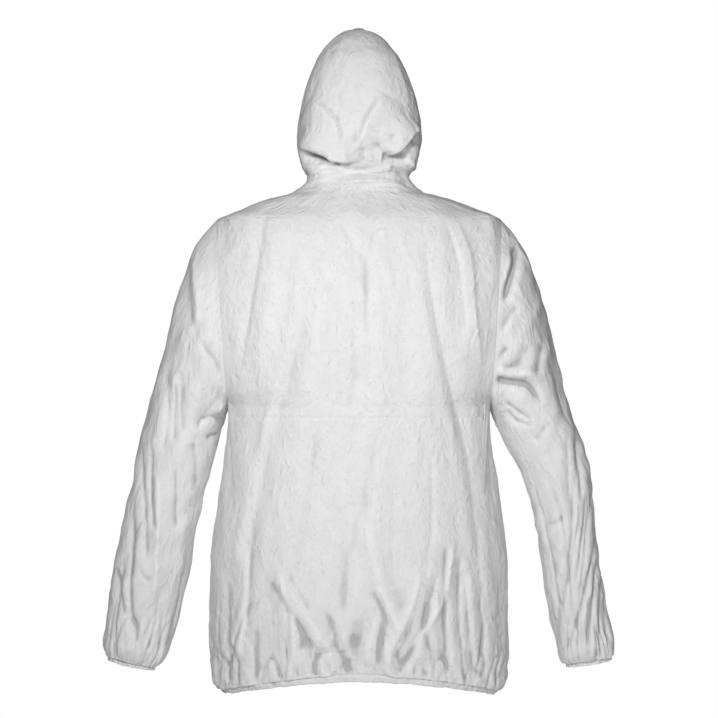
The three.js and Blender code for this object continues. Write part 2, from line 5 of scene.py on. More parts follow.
import bmesh
import bpy
import numpy as np
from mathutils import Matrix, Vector


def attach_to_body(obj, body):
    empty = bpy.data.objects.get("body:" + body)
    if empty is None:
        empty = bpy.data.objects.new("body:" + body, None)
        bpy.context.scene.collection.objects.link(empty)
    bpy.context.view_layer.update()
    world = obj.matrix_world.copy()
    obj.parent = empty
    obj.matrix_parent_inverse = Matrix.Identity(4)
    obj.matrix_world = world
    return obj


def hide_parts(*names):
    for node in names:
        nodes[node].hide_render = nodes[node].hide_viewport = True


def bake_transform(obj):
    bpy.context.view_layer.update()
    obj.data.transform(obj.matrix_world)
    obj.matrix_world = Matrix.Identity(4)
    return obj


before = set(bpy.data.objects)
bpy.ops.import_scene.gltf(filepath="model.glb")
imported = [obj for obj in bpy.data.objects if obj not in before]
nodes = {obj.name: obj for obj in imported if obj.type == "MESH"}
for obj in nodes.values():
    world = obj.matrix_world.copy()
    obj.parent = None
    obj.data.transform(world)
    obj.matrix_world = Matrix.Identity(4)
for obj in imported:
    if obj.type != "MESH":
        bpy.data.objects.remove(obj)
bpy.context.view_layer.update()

MM = 0.001

# ------------------------------------------------------------------ camera
EYE_DISTANCE = 3.7
EYE_HEIGHT = -0.274
SEEN_WIDTH = 1.149
SENSOR = 36.0

camera = bpy.data.cameras.new("camera")
camera.sensor_width = SENSOR
camera.lens = SENSOR * EYE_DISTANCE / SEEN_WIDTH
camera.clip_end = 60
eye = bpy.data.objects.new("camera", camera)
eye.location = (0.0, EYE_DISTANCE, EYE_HEIGHT)
eye.rotation_euler = (math.pi / 2, 0, math.pi)
bpy.context.scene.collection.objects.link(eye)
bpy.context.scene.camera = eye

# ------------------------------------------------------------------ sizes of the cut, in millimetres
HEM, HEM_ARCH, WAIST_SEAM, ARMPIT, SHOULDER = -804, 32, -365, -350, -52
NECK_SIDE, NECK_TILT, NECK, HOOD_BASE, CROWN = -8.5, 0.137, 18, 22, 254
HEM_HALF, SKIRT_HALF, ARMPIT_HALF, SHOULDER_HALF, ARMHOLE_HALF = 218, 238, 208, 227, 258
NECK_SEAM_HALF, NECK_HALF, HOOD_HALF = 106, 83, 99
HEM_BACK, SKIRT_BACK, BLADE_BACK, NECK_SEAM_BACK, NECK_BACK, HOOD_BACK = 130, 150, 130, 63, 57, 88
CHIN_FRONT, HEM_FRONT, HOOD_FRONT, FACE_PLANE = 96, 158, 142, 104
ROUNDNESS = 2.4
CASING = 12
ZIP_EDGE = 9
SLEEVE_Y = -5
CASING_AT = 0.96
OVERHANG, CUFF_OVERHANG = 5.0, 8.0
ZIP_FOOT, FRONT_SEAM_FOOT = -760.0, 231
HOOD_SOFT_TO, SLEEVE_SOFT = 95, 75
HEM_GUESS, NECK_GUESS = -780.0, -10.0


def profile(pairs):
    """A smooth curve through (at, value) pairs: a cubic between each two whose end slopes are the
    harmonic mean of the straight slopes on both sides, and zero at a peak, a dip or an end."""
    at, value = np.array(pairs, float).T
    straight = np.diff(value) / np.diff(at)
    slope = np.zeros(len(at))
    before, after = straight[:-1], straight[1:]
    same = before * after > 0
    slope[1:-1][same] = 2 * before[same] * after[same] / (before[same] + after[same])

    def curve(x):
        x = np.asarray(x, float)
        i = np.clip(np.searchsorted(at, x) - 1, 0, len(at) - 2)
        h = at[i + 1] - at[i]
        t = np.clip((x - at[i]) / h, 0, 1)
        ease = t * t * (3 - 2 * t)
        bend = h * t * (1 - t) * ((1 - t) * slope[i] - t * slope[i + 1])
        return value[i] + (value[i + 1] - value[i]) * ease + bend

    return curve


def lerp(a, b, t):
    """a where t is 0, b where t is 1, and on a straight line between."""
    return a + (b - a) * t


def ease(low, high, x):
    """0 below low, 1 above high, and a smooth S between."""
    t = np.clip((np.asarray(x, float) - low) / (high - low), 0, 1)
    return t * t * (3 - 2 * t)


def below(share):
    """A height that share of the way from the hem to the armpit."""
    return lerp(HEM, ARMPIT, share)


def armhole(share):
    """A height that share of the way from the armpit to the shoulder tip."""
    return lerp(ARMPIT, SHOULDER, share)


def slope(share):
    """A height that share of the way from the shoulder tip to the side of the neck."""
    return lerp(SHOULDER, NECK_SIDE, share)


def hood(share):
    """A height that share of the way from the neck to the hood's crown."""
    return lerp(NECK, CROWN, share)


half_width = profile([
    (HEM - 8, HEM_HALF - 4), (HEM, HEM_HALF), (below(0.06), lerp(HEM_HALF, SKIRT_HALF, 0.75)),
    (below(0.2), SKIRT_HALF), (below(0.42), SKIRT_HALF),
    (below(0.65), lerp(ARMPIT_HALF, SKIRT_HALF, 0.6)), (below(0.85), lerp(ARMPIT_HALF, SKIRT_HALF, 0.2)),
    (ARMPIT, ARMPIT_HALF), (armhole(0.1), lerp(ARMPIT_HALF, ARMHOLE_HALF, 0.4)),
    (armhole(0.28), lerp(ARMPIT_HALF, ARMHOLE_HALF, 0.85)), (armhole(0.52), ARMHOLE_HALF),
    (armhole(0.74), lerp(SHOULDER_HALF, ARMHOLE_HALF, 0.85)),
    (armhole(0.91), lerp(SHOULDER_HALF, ARMHOLE_HALF, 0.4)), (SHOULDER, SHOULDER_HALF),
    (slope(0.36), lerp(SHOULDER_HALF, NECK_SEAM_HALF, 0.31)),
    (slope(0.75), lerp(SHOULDER_HALF, NECK_SEAM_HALF, 0.64)), (NECK_SIDE, NECK_SEAM_HALF),
    (lerp(NECK_SIDE, NECK, 0.5), lerp(NECK_SEAM_HALF, NECK_HALF, 0.75)), (NECK, NECK_HALF),
    (hood(0.055), lerp(NECK_HALF, HOOD_HALF, 0.45)), (hood(0.145), lerp(NECK_HALF, HOOD_HALF, 0.78)),
    (hood(0.265), HOOD_HALF), (hood(0.5), HOOD_HALF * 0.93), (hood(0.75), HOOD_HALF * 0.71),
    (hood(0.885), HOOD_HALF * 0.5), (hood(0.965), HOOD_HALF * 0.27), (CROWN, HOOD_HALF * 0.07),
])
back_depth = profile([
    (HEM - 8, HEM_BACK - 4), (HEM, HEM_BACK), (below(0.06), lerp(HEM_BACK, SKIRT_BACK, 0.6)),
    (below(0.25), SKIRT_BACK), (below(0.55), lerp(BLADE_BACK, SKIRT_BACK, 0.5)),
    (below(0.85), BLADE_BACK - 3), (armhole(0.3), BLADE_BACK), (armhole(0.6), BLADE_BACK - 3),
    (armhole(0.85), lerp(NECK_SEAM_BACK, BLADE_BACK, 0.74)),
    (SHOULDER, lerp(NECK_SEAM_BACK, BLADE_BACK, 0.5)), (slope(0.5), lerp(NECK_SEAM_BACK, BLADE_BACK, 0.24)),
    (NECK_SIDE, NECK_SEAM_BACK), (NECK, NECK_BACK), (hood(0.06), lerp(NECK_BACK, HOOD_BACK, 0.3)),
    (hood(0.2), lerp(NECK_BACK, HOOD_BACK, 0.75)), (hood(0.48), HOOD_BACK), (hood(0.75), HOOD_BACK * 0.86),
    (hood(0.885), HOOD_BACK * 0.64), (hood(0.965), HOOD_BACK * 0.37), (CROWN, HOOD_BACK * 0.09),
])
hood_depth = profile([
    (HOOD_BASE, CHIN_FRONT), (hood(0.12), lerp(CHIN_FRONT, HOOD_FRONT, 0.2)),
    (hood(0.3), lerp(CHIN_FRONT, HOOD_FRONT, 0.8)), (hood(0.5), HOOD_FRONT), (hood(0.75), HOOD_FRONT * 0.91),
    (hood(0.885), HOOD_FRONT * 0.71), (hood(0.965), HOOD_FRONT * 0.4), (CROWN, HOOD_FRONT * 0.09),
])
FRONT_SLOPE = (HEM_FRONT - CHIN_FRONT) / (HOOD_BASE - HEM)


def front_depth(z):
    """A straight line down the zip, and the rounded hood above it."""
    return np.where(z < HOOD_BASE, CHIN_FRONT + FRONT_SLOPE * (HOOD_BASE - z), hood_depth(z))


def squarish(v):
    """A sine or cosine raised to a power under 1, which squares an oval's corners."""
    return np.sign(v) * np.abs(v) ** (2 / ROUNDNESS)


def stack(*parts):
    """Coordinates as one array of points."""
    return np.stack(np.broadcast_arrays(*parts), axis=-1)


def body_skin(angle, z):
    """The body's smooth surface: each level is a squarish oval as wide and deep as the profiles say.
    Angle 0 is the front, a quarter turn the wearer's left, a half turn the back."""
    across, along = np.sin(angle), -np.cos(angle)
    depth = np.where(along > 0, back_depth(z), front_depth(z))
    return stack(squarish(across) * half_width(z), squarish(along) * depth, z)


def outward(surface, u, v, du=2e-3, dv=2e-3):
    """The surface's normal, from the cross product of small steps along both parameters."""
    a = surface(u + du, v) - surface(u - du, v)
    b = surface(u, v + dv) - surface(u, v - dv)
    n = np.cross(a, b)
    return n / np.maximum(np.linalg.norm(n, axis=-1, keepdims=True), 1e-9)


# ------------------------------------------------------------------ noise and folds
def scatter(i, j, k, seed):
    """Whole numbers shuffled into repeatable random ones."""
    h = (i * 73856093) ^ (j * 19349663) ^ (k * 83492791) ^ (seed * 2654435761)
    h &= 0xFFFFFFFF
    h = ((h ^ (h >> 13)) * 1274126177) & 0xFFFFFFFF
    return h ^ (h >> 16)


def wander(p, scale, seed):
    """Smooth random height, about -1 to 1: on a lattice of cells scale wide, each corner has a random
    slope, and the heights of the eight slopes round a point are blended with a smooth S."""
    q = p / np.asarray(scale, float)
    base = np.floor(q).astype(np.int64)
    f = q - base
    s = f * f * f * (f * (f * 6 - 15) + 10)
    total = 0.0
    for corner in range(8):
        o = np.array([corner & 1, corner >> 1 & 1, corner >> 2 & 1])
        h = scatter(base[..., 0] + o[0], base[..., 1] + o[1], base[..., 2] + o[2], seed)
        g = stack((h & 1023) / 511.5 - 1, (h >> 10 & 1023) / 511.5 - 1, (h >> 20 & 1023) / 511.5 - 1)
        weight = np.prod(np.where(o == 1, s, 1 - s), axis=-1)
        total = total + weight * np.sum(g * (f - o), axis=-1)
    return total * 1.5


def crease(p, scale, seed):
    """Sharp valley lines where the random height crosses zero, 0 in the line and up to about 1 away."""
    return np.sqrt(wander(p, scale, seed) ** 2 + 4e-4)


CRINKLES = ((90, 3.6, 21), (42, 2.3, 22), (21, 1.4, 23), (10.5, 0.75, 24))  # size, depth, seed


def crumple(p, tall=1.7):
    """Crinkles of thin stiff fabric, in millimetres: at four sizes, sharp valleys less sharp ridges at
    other places, tall times as long as they are wide, drifting with a slow random warp."""
    warp = stack(wander(p, 90, 11), wander(p, 90, 12), wander(p, 90, 13)) * 16
    q = p + warp
    height = 0.0
    for size, deep, seed in CRINKLES:
        scale = (size, size, size * tall)
        height = height + deep * (crease(q, scale, seed) - crease(q + 31, scale, seed + 40))
    return height


def nearest(x, z, path, taper=0.2):
    """For points on a plane, the signed distance to a smooth path through a few points, and how
    strong the fold is there: 1 along it and fading over the last part at both ends."""
    path = np.array(path, float)
    count = 28
    at = np.linspace(0, len(path) - 1, count)
    knots = np.arange(len(path))
    curve = [profile(np.column_stack([knots, path[:, c]]))(at) for c in (0, 1)]
    best = np.full(np.shape(x), 1e9)
    signed = np.zeros(np.shape(x))
    along = np.zeros(np.shape(x))
    for i in range(count - 1):
        ax, az = curve[0][i], curve[1][i]
        dx, dz = curve[0][i + 1] - ax, curve[1][i + 1] - az
        length = dx * dx + dz * dz + 1e-9
        t = np.clip(((x - ax) * dx + (z - az) * dz) / length, 0, 1)
        gx, gz = x - ax - t * dx, z - az - t * dz
        far = gx * gx + gz * gz
        closer = far < best
        best = np.where(closer, far, best)
        signed = np.where(closer, np.sign(dx * gz - dz * gx) * np.sqrt(far), signed)
        along = np.where(closer, (i + t) / (count - 1), along)
    return signed, ease(0, taper, along) * ease(0, taper, 1 - along)


def fold(x, z, path, height, wide, sharp=0.0, lean=1.0, taper=0.25):
    """One fold along a path: a bell across it, or a crease with straight flanks when sharp is 1. It is
    lean times as wide on its second side."""
    points = np.array(path, float)
    margin = 5 * wide * max(1, lean)
    low, high = points.min(axis=0) - margin, points.max(axis=0) + margin
    close = (x > low[0]) & (x < high[0]) & (z > low[1]) & (z < high[1])
    lift = np.zeros(np.shape(x))
    if not close.any():
        return lift
    d, strength = nearest(x[close], z[close], path, taper)
    w = np.where(d > 0, wide * lean, wide)
    bell = np.exp(-((d / w) ** 2))
    roof = np.exp(-np.sqrt((d / w) ** 2 + 0.01) * 1.6)
    lift[close] = height * strength * lerp(bell, roof, sharp)
    return lift


def drawn_folds(folds, x, z):
    """All of a list's folds added up. Each row is a path as (x, z), height, width, sharpness, lean."""
    return sum(fold(x, z, *row) for row in folds)


BACK_FOLDS = [  # path as (x, z), height, width, sharpness, lean
    ([(-98, -43), (-108, -162), (-144, -327), (-170, -430), (-190, -615),
      (-198, -692)], -5.6, 11, 0.5, 1.9),
    ([(-86, -50), (-98, -170), (-132, -330), (-158, -440), (-176, -600)], 4.0, 13, 0.1, 1.2),
    ([(77, -105), (82, -188), (108, -306), (131, -368), (155, -486), (180, -641),
      (191, -728)], -4.8, 15, 0.25, 1.3),
    ([(90, -95), (100, -200), (128, -320), (158, -430), (186, -560), (200, -690)], 4.0, 13, 0.1, 0.8),
    ([(36, -54), (10, -92), (-10, -131), (-12, -230)], -1.9, 5, 0.8, 4.5),
    ([(-36, -54), (-16, -115), (-12, -230), (-10, -357)], -1.9, 5, 0.8, 4.2),
    ([(-149, -48), (-176, -126), (-181, -218), (-192, -285)], 3.4, 4.4, 0.6, 4.5),
    ([(-135, -55), (-158, -140), (-166, -230)], -3.4, 5.0, 0.6, 3.6),
    ([(142, -33), (165, -177), (188, -306)], -3.0, 4.2, 0.7, 4.2),
    ([(118, -50), (134, -160), (160, -290)], 2.4, 12, 0.2, 1.1),
    ([(13, -203), (6, -285), (21, -352)], -1.9, 12, 0.3, 1.2),
    ([(-62, -203), (-72, -285), (-62, -357)], -1.9, 12, 0.3, 1.2),
    ([(57, -368), (82, -486), (98, -605)], -2.8, 12, 0.3, 1.4),
    ([(-31, -378), (-10, -481), (21, -615), (26, -682)], -3.6, 13, 0.3, 1.3),
    ([(5, -481), (-31, -605), (-38, -646)], 2.7, 10, 0.5, 1.2),
    ([(-113, -424), (-113, -512), (-103, -615)], -2.4, 4.4, 0.7, 4.2),
    ([(-149, -553), (-134, -641), (-62, -739)], 4.8, 4.4, 0.8, 4.8),
    ([(-123, -605), (-100, -680), (-67, -744)], -4.4, 4.4, 0.8, 3.9),
    ([(137, -615), (103, -666), (41, -759)], -5.4, 4.4, 0.8, 5.1),
    ([(120, -600), (86, -660), (30, -735)], 3.9, 5.0, 0.6, 3.6),
    ([(108, -641), (108, -700), (104, -745)], -3.4, 4.2, 0.8, 3.9),
    ([(-160, -579), (-157, -666), (-160, -728)], -4.4, 4.2, 0.8, 4.5),
    ([(175, -560), (178, -650), (186, -745)], 5.9, 4, 0.2, 4.0),
    ([(128, -590), (112, -640), (98, -700), (96, -768)], 4.8, 4.2, 0.3, 5.0),
    ([(52, -655), (36, -690), (22, -735), (10, -762)], -4.8, 4.2, 0.8, 5.4),
    ([(-22, -655), (-14, -690), (6, -735), (14, -760)], -4.8, 4.2, 0.8, 5.4),
    ([(-30, -625), (-45, -660), (-62, -700)], 4.8, 16, 0.2, 0.2),
    ([(-96, -600), (-80, -660), (-52, -722), (-40, -756)], 4.8, 4.2, 0.4, 4.5),
    ([(-118, -650), (-96, -700), (-70, -748)], -4.8, 4.2, 0.8, 4.8),
    ([(-136, -560), (-134, -640), (-137, -765)], -5.9, 4.2, 0.7, 5.4),
    ([(-166, -600), (-172, -680), (-178, -770)], -5.9, 4.2, 0.7, 5.4),
    ([(-190, -640), (-196, -700), (-198, -770)], -4.8, 4.2, 0.7, 4.5),
    ([(205, -620), (204, -700), (200, -775)], -4.8, 4.2, 0.6, 4.5),
    ([(160, -690), (158, -730), (162, -775)], -3.9, 4.2, 0.8, 4.2),
    ([(76, -700), (68, -735), (60, -768)], -3.9, 4.2, 0.8, 4.2),
]


RUFFLES = ((1, 3.0, 0, 40), (1.9, 5.0, 8, 90), (4.2, 6.0, 34, 200))  # size, height, start, end


def gathers(ring, rise, seed, small=13.0):
    """Ruffles above an elastic edge: random ripples along the edge that start small and tight at the
    elastic and give way, further up, to wider ones; each size swells and dies away with height. Below
    the stitches, over the elastic itself, a row of beads. ring is the place along the edge, as two
    coordinates that close on themselves."""
    lift = 0.0
    for n, (size, tall, start, gone) in enumerate(RUFFLES):
        scale = small * size
        p = stack(ring[0] + 0.1 * rise * (-1) ** n, ring[1], rise * 0.3)
        wave = wander(p, scale, seed + n)
        grown = ease(-3, start + 8, rise) * (1 - ease(start + 8, gone, rise))
        lift = lift + tall * grown * (0.75 - 1.25 * np.exp(-6.0 * np.abs(wave)) - 0.8 * np.abs(wave))
    beads = 0.5 - 2.2 * np.abs(wander(stack(ring[0], ring[1], rise * 0.2), small * 0.62, seed + 7))
    lift = lift + 1.5 * beads * np.exp(-(((rise + 6) / 5) ** 2))
    return lift - 1.0 * np.exp(-((rise / 2.0) ** 2))


def hem_line(p):
    """The height of the hem's edge: a parabola over the width, lowest at the side seams."""
    return HEM + HEM_ARCH * (1 - np.minimum(1, np.abs(p[..., 0]) / HEM_HALF) ** 2)


def neck_line(p):
    """The tilted plane of the seam between the body and the neck band."""
    return NECK_SIDE + NECK_TILT * p[..., 1]


ARM_RUN = np.array([SHOULDER_HALF - ARMPIT_HALF, SHOULDER - ARMPIT], float)
ARM_MID = np.array([(SHOULDER_HALF + ARMPIT_HALF) / 2, (SHOULDER + ARMPIT) / 2])
ARM_LONG = float(np.hypot(*ARM_RUN))
ARM_ALONG = ARM_RUN / ARM_LONG
ARM_OUT = np.array([ARM_ALONG[1], -ARM_ALONG[0]])


def past_armhole(p):
    """Distance outwards past the plane of the nearer armhole."""
    return (np.abs(p[..., 0]) - ARM_MID[0]) * ARM_OUT[0] + (p[..., 2] - ARM_MID[1]) * ARM_OUT[1]


NECK_FOLDS = [
    ([(106, -8), (84, 9), (50, 30)], 4.5, 6, 0.3, 1.5),
    ([(78, 5), (22, 17), (-50, 22)], 4, 5, 0.3, 1.6),
    ([(92, -4), (31, 8), (-62, 11), (-92, -5)], -4, 5, 0.5, 1.3),
    ([(96, 4), (62, 21), (28, 34)], -4.5, 5, 0.4, 1.2),
    ([(-50, 30), (-72, 16), (-90, 6)], -5, 6, 0.4, 1.3),
]
HOOD_FOLDS = [  # rows as in BACK_FOLDS; a lean far from 1 makes a facet with one steep side
    ([(50, 205), (30, 217), (-5, 221), (-33, 217), (-45, 206)], -0.8, 6, 0.1, 1.0),
    ([(76, 138), (62, 121), (45, 106), (35, 88), (31, 62)], 7, 4.5, 0.15, 7.0),
    ([(-38, 142), (-23, 115), (-7, 84), (0, 56)], 7, 30, 0.15, 0.15),
    ([(34, 150), (31, 120), (33, 96)], -1.6, 4, 0.6, 1.0),
    ([(101, 67), (84, 61), (62, 53), (41, 45), (19, 41), (-6, 41)], 17, 26, 0.1, 0.22),
    ([(96, 50), (76, 43), (46, 36)], -17, 11, 0.2, 1.0),
    ([(-94, 94), (-77, 79), (-62, 58), (-42, 43)], 15, 5, 0.1, 5.5),
    ([(-36, 45), (-58, 42), (-78, 48)], -12, 9, 0.2, 1.0),
    ([(-97, 66), (-93, 40), (-82, 28)], 9, 11, 0.1, 1.0),
    ([(-66, 120), (-80, 90), (-88, 62)], -3.5, 5, 0.6, 1.4),
    ([(-58, 190), (-72, 150), (-76, 125)], 2.6, 5, 0.5, 1.6),
    ([(66, 170), (80, 135), (88, 110)], -2.4, 6, 0.5, 1.4),
    ([(12, 52), (4, 62), (-2, 82)], 2.6, 6, 0.4, 1.0),
    ([(-20, 60), (-40, 66), (-55, 82)], -3.0, 6, 0.4, 1.6),
]


def swell(p, n):
    """How far the fabric stands off the smooth body, in millimetres, from where it is and which way it
    faces: long drapes, crinkles, the drawn folds of the back and hood, and gathers at the hem. It
    fades to nothing at the armholes and along the zip, where the seams hold the fabric still."""
    x, y, z = p[..., 0], p[..., 1], p[..., 2]
    behind = ease(0.15, 0.6, n[..., 1])
    rise = z - hem_line(p) - CASING
    neck = z - neck_line(p)
    torso = 1 - ease(-12, 6, neck)
    high = ease(26, 60, z)
    busy = lerp(0.28, 0.9, np.exp(-((rise / 90) ** 2))) + 0.4 * ease(130, 230, np.abs(x))
    lift = crumple(p) * lerp(0.6, busy, torso)
    drape = wander(stack(x, y, z * 0.16), 62, 5) * 4.2 + wander(stack(x, y, z * 0.2), 28, 6) * 1.6
    lift = lift + drape * torso * ease(0, 60, rise) * lerp(0.6, 1, behind)
    lift = lift + drawn_folds(BACK_FOLDS, x, z) * behind * torso
    lift = lift + gathers((x, y), rise, 31) * torso * (rise < 260)
    lift = lift + drawn_folds(HOOD_FOLDS, x, z) * behind * (1 - torso) * ease(20, 34, z)
    seam = np.exp(-(((z - WAIST_SEAM - 1.5 * wander(p, (25, 25, 90), 61)) / 2.4) ** 2)) * behind
    pucker = np.exp(-(((z - WAIST_SEAM) / 9) ** 2)) * wander(p, (9, 9, 60), 41) * behind
    lift = lift - 0.75 * seam + pucker
    lift = lift + drawn_folds(NECK_FOLDS, x, z) * behind * ease(-8, 4, neck)
    lift = lift + 1.0 * np.exp(-(((neck - 3) / 3.5) ** 2)) - 0.4 * np.exp(-((neck / 1.8) ** 2))
    band = (1 - torso) * (1 - high)
    narrow = wander(stack(x * 0.25, y * 0.25, z), 7, 43) * 1.8
    broad = wander(stack(x * 0.3, y * 0.3, z), 15, 44) * 3
    lift = lift + band * (narrow + broad)
    lift = lift + 0.35 * np.exp(-((x / 4.0) ** 2)) * ease(30, 60, z)
    beside_arm = ease(ARMPIT - 50, ARMPIT - 20, z) * (1 - ease(SHOULDER, -10, z))
    keep = lerp(1.0, ease(0, 16, -past_armhole(p)), beside_arm)
    front = ease(0.0, 0.4, -n[..., 1])
    flap = 24 * (x > 0)
    keep = keep * lerp(1, ease(20 + flap, 50 + flap, np.abs(x)), front * (z < 70))
    face = (z > 26) & (y < 0)
    past_edge = y + FACE_PLANE - CASING
    keep = keep * np.where(face, ease(-12, 10, past_edge), 1.0)
    ruffle = gathers((x, z), past_edge, 51, 11.0) * 0.45 * ease(9, 30, np.abs(x))
    return lift * keep + np.where(face, ruffle, 0.0)


def cloth(surface, u, v, inset=0.0):
    """A fabric panel's points: the smooth surface, moved along its normal by the swell, less inset.
    Just above the hem it also sags over the elastic."""
    p = surface(u, v)
    n = outward(surface, u, v)
    rise = p[..., 2] - hem_line(p) - CASING
    overhang = OVERHANG * ease(0, 3, rise) * (1 - ease(4, 34, rise)) * ease(20, 60, np.abs(p[..., 0]))
    return p + n * (swell(p, n) + overhang * 0.3 - inset)[..., None] - stack(0, 0, overhang)


# ------------------------------------------------------------------ sleeves
ARMS = {
    "left": dict(side=1, upper=14, fore=12, elbow=59, forearm=58, wrist=51, cuff=39),
    "right": dict(side=-1, upper=23, fore=9.5, elbow=54, forearm=44, wrist=44, cuff=38),
}
SLEEVE_HEAD = [  # share of the length, outer point from the shoulder tip, inner from the armpit, half depth
    (0.06, (36, -45), (2, -8), 82), (0.13, (61, -114), (5, -17), 80),
    (0.2, (82, -198), (9, -27), 74), (0.27, (101, -276), (14, -39), 67),
]
UPPER_LONG, FORE_LONG, CUFF_LONG = 105, 272, 38


def reach_out(place, shape, longest):
    """How far out the body's surface is, where place gives the x, y and z at a distance: found by
    halving the span between a point inside the squarish oval at its height and one outside."""
    near, far = np.zeros(shape), np.full(shape, float(longest))
    for _ in range(28):
        r = (near + far) / 2
        x, y, z = place(r)
        depth = np.where(y > 0, back_depth(z), front_depth(z))
        inside = np.abs(x / half_width(z)) ** ROUNDNESS + np.abs(y / depth) ** ROUNDNESS < 1
        near, far = np.where(inside, r, near), np.where(inside, far, r)
    return near


def armhole_place(angle, r, inwards=0.0):
    """A point at an angle and distance from the middle of the left armhole, in its plane or in one
    further inwards."""
    up = np.cos(angle) * r
    return (ARM_MID[0] - ARM_OUT[0] * inwards + ARM_ALONG[0] * up, SLEEVE_Y + np.sin(angle) * r,
            ARM_MID[1] - ARM_OUT[1] * inwards + ARM_ALONG[1] * up)


def armhole_reach(angle, inwards=0.0):
    """From the middle of the armhole, how far the body's surface is at each angle."""
    return reach_out(lambda r: armhole_place(angle, r, inwards), angle.shape, ARM_LONG)


def sleeve_tracks(arm):
    """Curves down a sleeve for its centre, half width, tilt and half depth."""
    upper, fore = math.radians(arm["upper"]), math.radians(arm["fore"])
    tip, pit = np.array([SHOULDER_HALF, SHOULDER]), np.array([ARMPIT_HALF, ARMPIT])
    rows = []

    def between(at, outer, inner, deep):
        run = outer - inner
        rows.append((at, *((outer + inner) / 2), np.hypot(*run) / 2, math.atan2(*run), deep))

    def station(at, centre, half, angle, deep):
        rows.append((at, *centre, half, math.pi / 2 - angle, deep))

    def down(start, angle, long):
        return start + long * np.array([math.sin(angle), -math.cos(angle)])

    between(0, tip, pit, 80)
    for at, out, under, deep in SLEEVE_HEAD:
        between(at, tip + np.array(out), pit + np.array(under), deep)
    elbow = down(np.array(rows[-1][1:3]), upper, UPPER_LONG)
    wrist = down(elbow, fore, FORE_LONG)
    station(0.46, elbow, arm["elbow"], (upper + fore) / 2, 60)
    station(0.68, down(elbow, fore, FORE_LONG / 2), arm["forearm"], fore, 54)
    station(0.9, wrist, arm["wrist"], fore, 48)
    station(CASING_AT, down(wrist, fore, CUFF_LONG - CASING), arm["cuff"], fore, arm["cuff"] - 4)
    station(1, down(wrist, fore, CUFF_LONG), arm["cuff"] - 1, fore, arm["cuff"] - 5)
    rows = np.array(rows)
    return [profile(np.column_stack([rows[:, 0], rows[:, c]])) for c in range(1, 6)]


def sleeve_skin(arm):
    """A sleeve's smooth surface: oval sections down the arm, the first of them the armhole's own
    outline. Angle 0 is the outer edge of the arm."""
    side = arm["side"]
    cx, cz, half, tilt, deep = sleeve_tracks(arm)
    sweep = np.linspace(-math.pi, math.pi, 361)
    reach = armhole_reach(sweep)

    def skin(angle, at):
        settled = ease(0, 0.2, at)
        wrapped = (-side * angle + math.pi) % (2 * math.pi) - math.pi
        r = np.interp(wrapped, sweep, reach)
        up = lerp(np.cos(angle) * r / (ARM_LONG / 2), np.cos(angle), settled)
        across = lerp(np.sin(angle) * r, np.sin(angle) * deep(at), settled)
        return stack(
            side * (cx(at) + np.sin(tilt(at)) * up * half(at)),
            SLEEVE_Y - side * across,
            cz(at) + np.cos(tilt(at)) * up * half(at),
        )

    return skin


